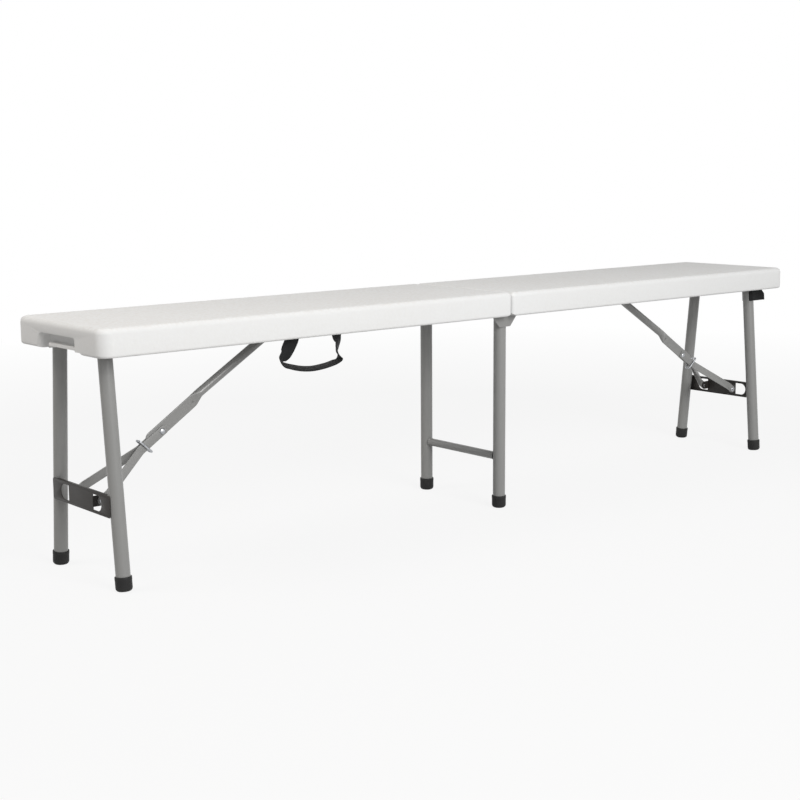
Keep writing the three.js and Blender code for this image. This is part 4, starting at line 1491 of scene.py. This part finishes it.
def strapRivet(name):
    size = strapRivetSize
    low, high = nodeBox(name)
    middle = (low + high) / 2
    wall = -rimInner
    washer = turned(size["washer"], Vector((middle.x, wall + size["washerY"], middle.z)), across)
    start = Vector((middle.x, wall - size["sunk"], middle.z))
    height = high.y - start.y - size["grip"]
    head = domedRivet(start, across, size["shank"], size["grip"], size["head"], height)
    return joined([washer, head])


strapShape, strapLength = carryStrap()
strapPiece = show("carryStrap", strapShape, "left_half", "webbing", ["carry_strap"], sharp=50)
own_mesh(strapPiece)
for place in ("outer", "inner"):
    node = f"carry_strap_rivet_{place}"
    show(f"strapRivet{place.title()}", strapRivet(node), "left_half", "zinc", [node])
print("carry strap made", round(strapLength), "mm long")


# Floor, light and background

studio = {
    "floor": 0.55,  # how pale the floor is
    "floorReach": 12,  # metres
    "floorDrop": 0.0005,  # metres below the feet
    "floorGlow": 0.88,  # share of plain white that the camera sees on it
    "fade": (1.4, 3.2),  # metres from the bench, where the floor turns to plain white
    "world": 0.28,
    "lamps": {  # place, aim, size, power and warmth
        "key": ((-0.5, -3.7, 1.9), (0, 0, 0.3), 1.8, 88, 0),
        "high": ((-0.5, -3.5, 2.8), (0, 0, 0.3), 1.8, 53, 0.01),
        "left": ((-2.4, 0.7, 2.6), (-0.7, 0, 0.4), 1.2, 39, 0.05),
    },
}


def addFloor():
    material = bpy.data.materials.new("paleFloor")
    shading = Shading(material)
    pale = (studio["floor"],) * 3 + (1,)
    diffuse = shading.node("ShaderNodeBsdfDiffuse", {}, {"Color": pale})
    glow = shading.node("ShaderNodeEmission", {}, {"Strength": 1.0})  # plain white
    place = shading.node("ShaderNodeTexCoord", {}, {}, "Object")
    away = shading.node("ShaderNodeVectorMath", {"operation": "LENGTH"}, {0: place}, "Value")
    near, far = studio["fade"]
    plainWhite = shading.ramp(away / far, (near / far, studio["floorGlow"]), (1.0, 1.0))
    share = shading.background() * plainWhite
    mixed = shading.node("ShaderNodeMixShader", {}, {0: share, 1: diffuse, 2: glow})
    shading.node("ShaderNodeOutputMaterial", {}, {"Surface": mixed})
    reach = studio["floorReach"]
    corners = [(-reach, -reach, 0), (reach, -reach, 0), (reach, reach, 0), (-reach, reach, 0)]
    mesh = meshOf(corners, [(0, 1, 2, 3)])
    mesh.materials.append(material)
    floor = addObject("floor", mesh)
    floor.location.z = -studio["floorDrop"]


def addWorld():
    world = bpy.data.worlds.new("studio")
    shading = Shading(world)
    seen = shading.background()
    strength = studio["world"] + seen * (1 - studio["world"])
    glow = shading.node("ShaderNodeBackground", {}, {"Color": (1, 1, 1, 1), "Strength": strength})
    shading.node("ShaderNodeOutputWorld", {}, {"Surface": glow})
    bpy.context.scene.world = world


def addLamp(name, place, aim, size, power, warmth):
    data = bpy.data.lights.new(name, "AREA")
    data.size = size
    data.energy = power
    data.color = (1, 1 - warmth, 1 - 2 * warmth)
    lamp = addObject(name, data)
    lamp.location = place
    lamp.rotation_euler = (Vector(aim) - Vector(place)).to_track_quat("-Z", "Y").to_euler()


addFloor()
addWorld()
for name, settings in studio["lamps"].items():
    addLamp(name, *settings)
bpy.context.scene.view_settings.view_transform = "Standard"
print("studio lit")
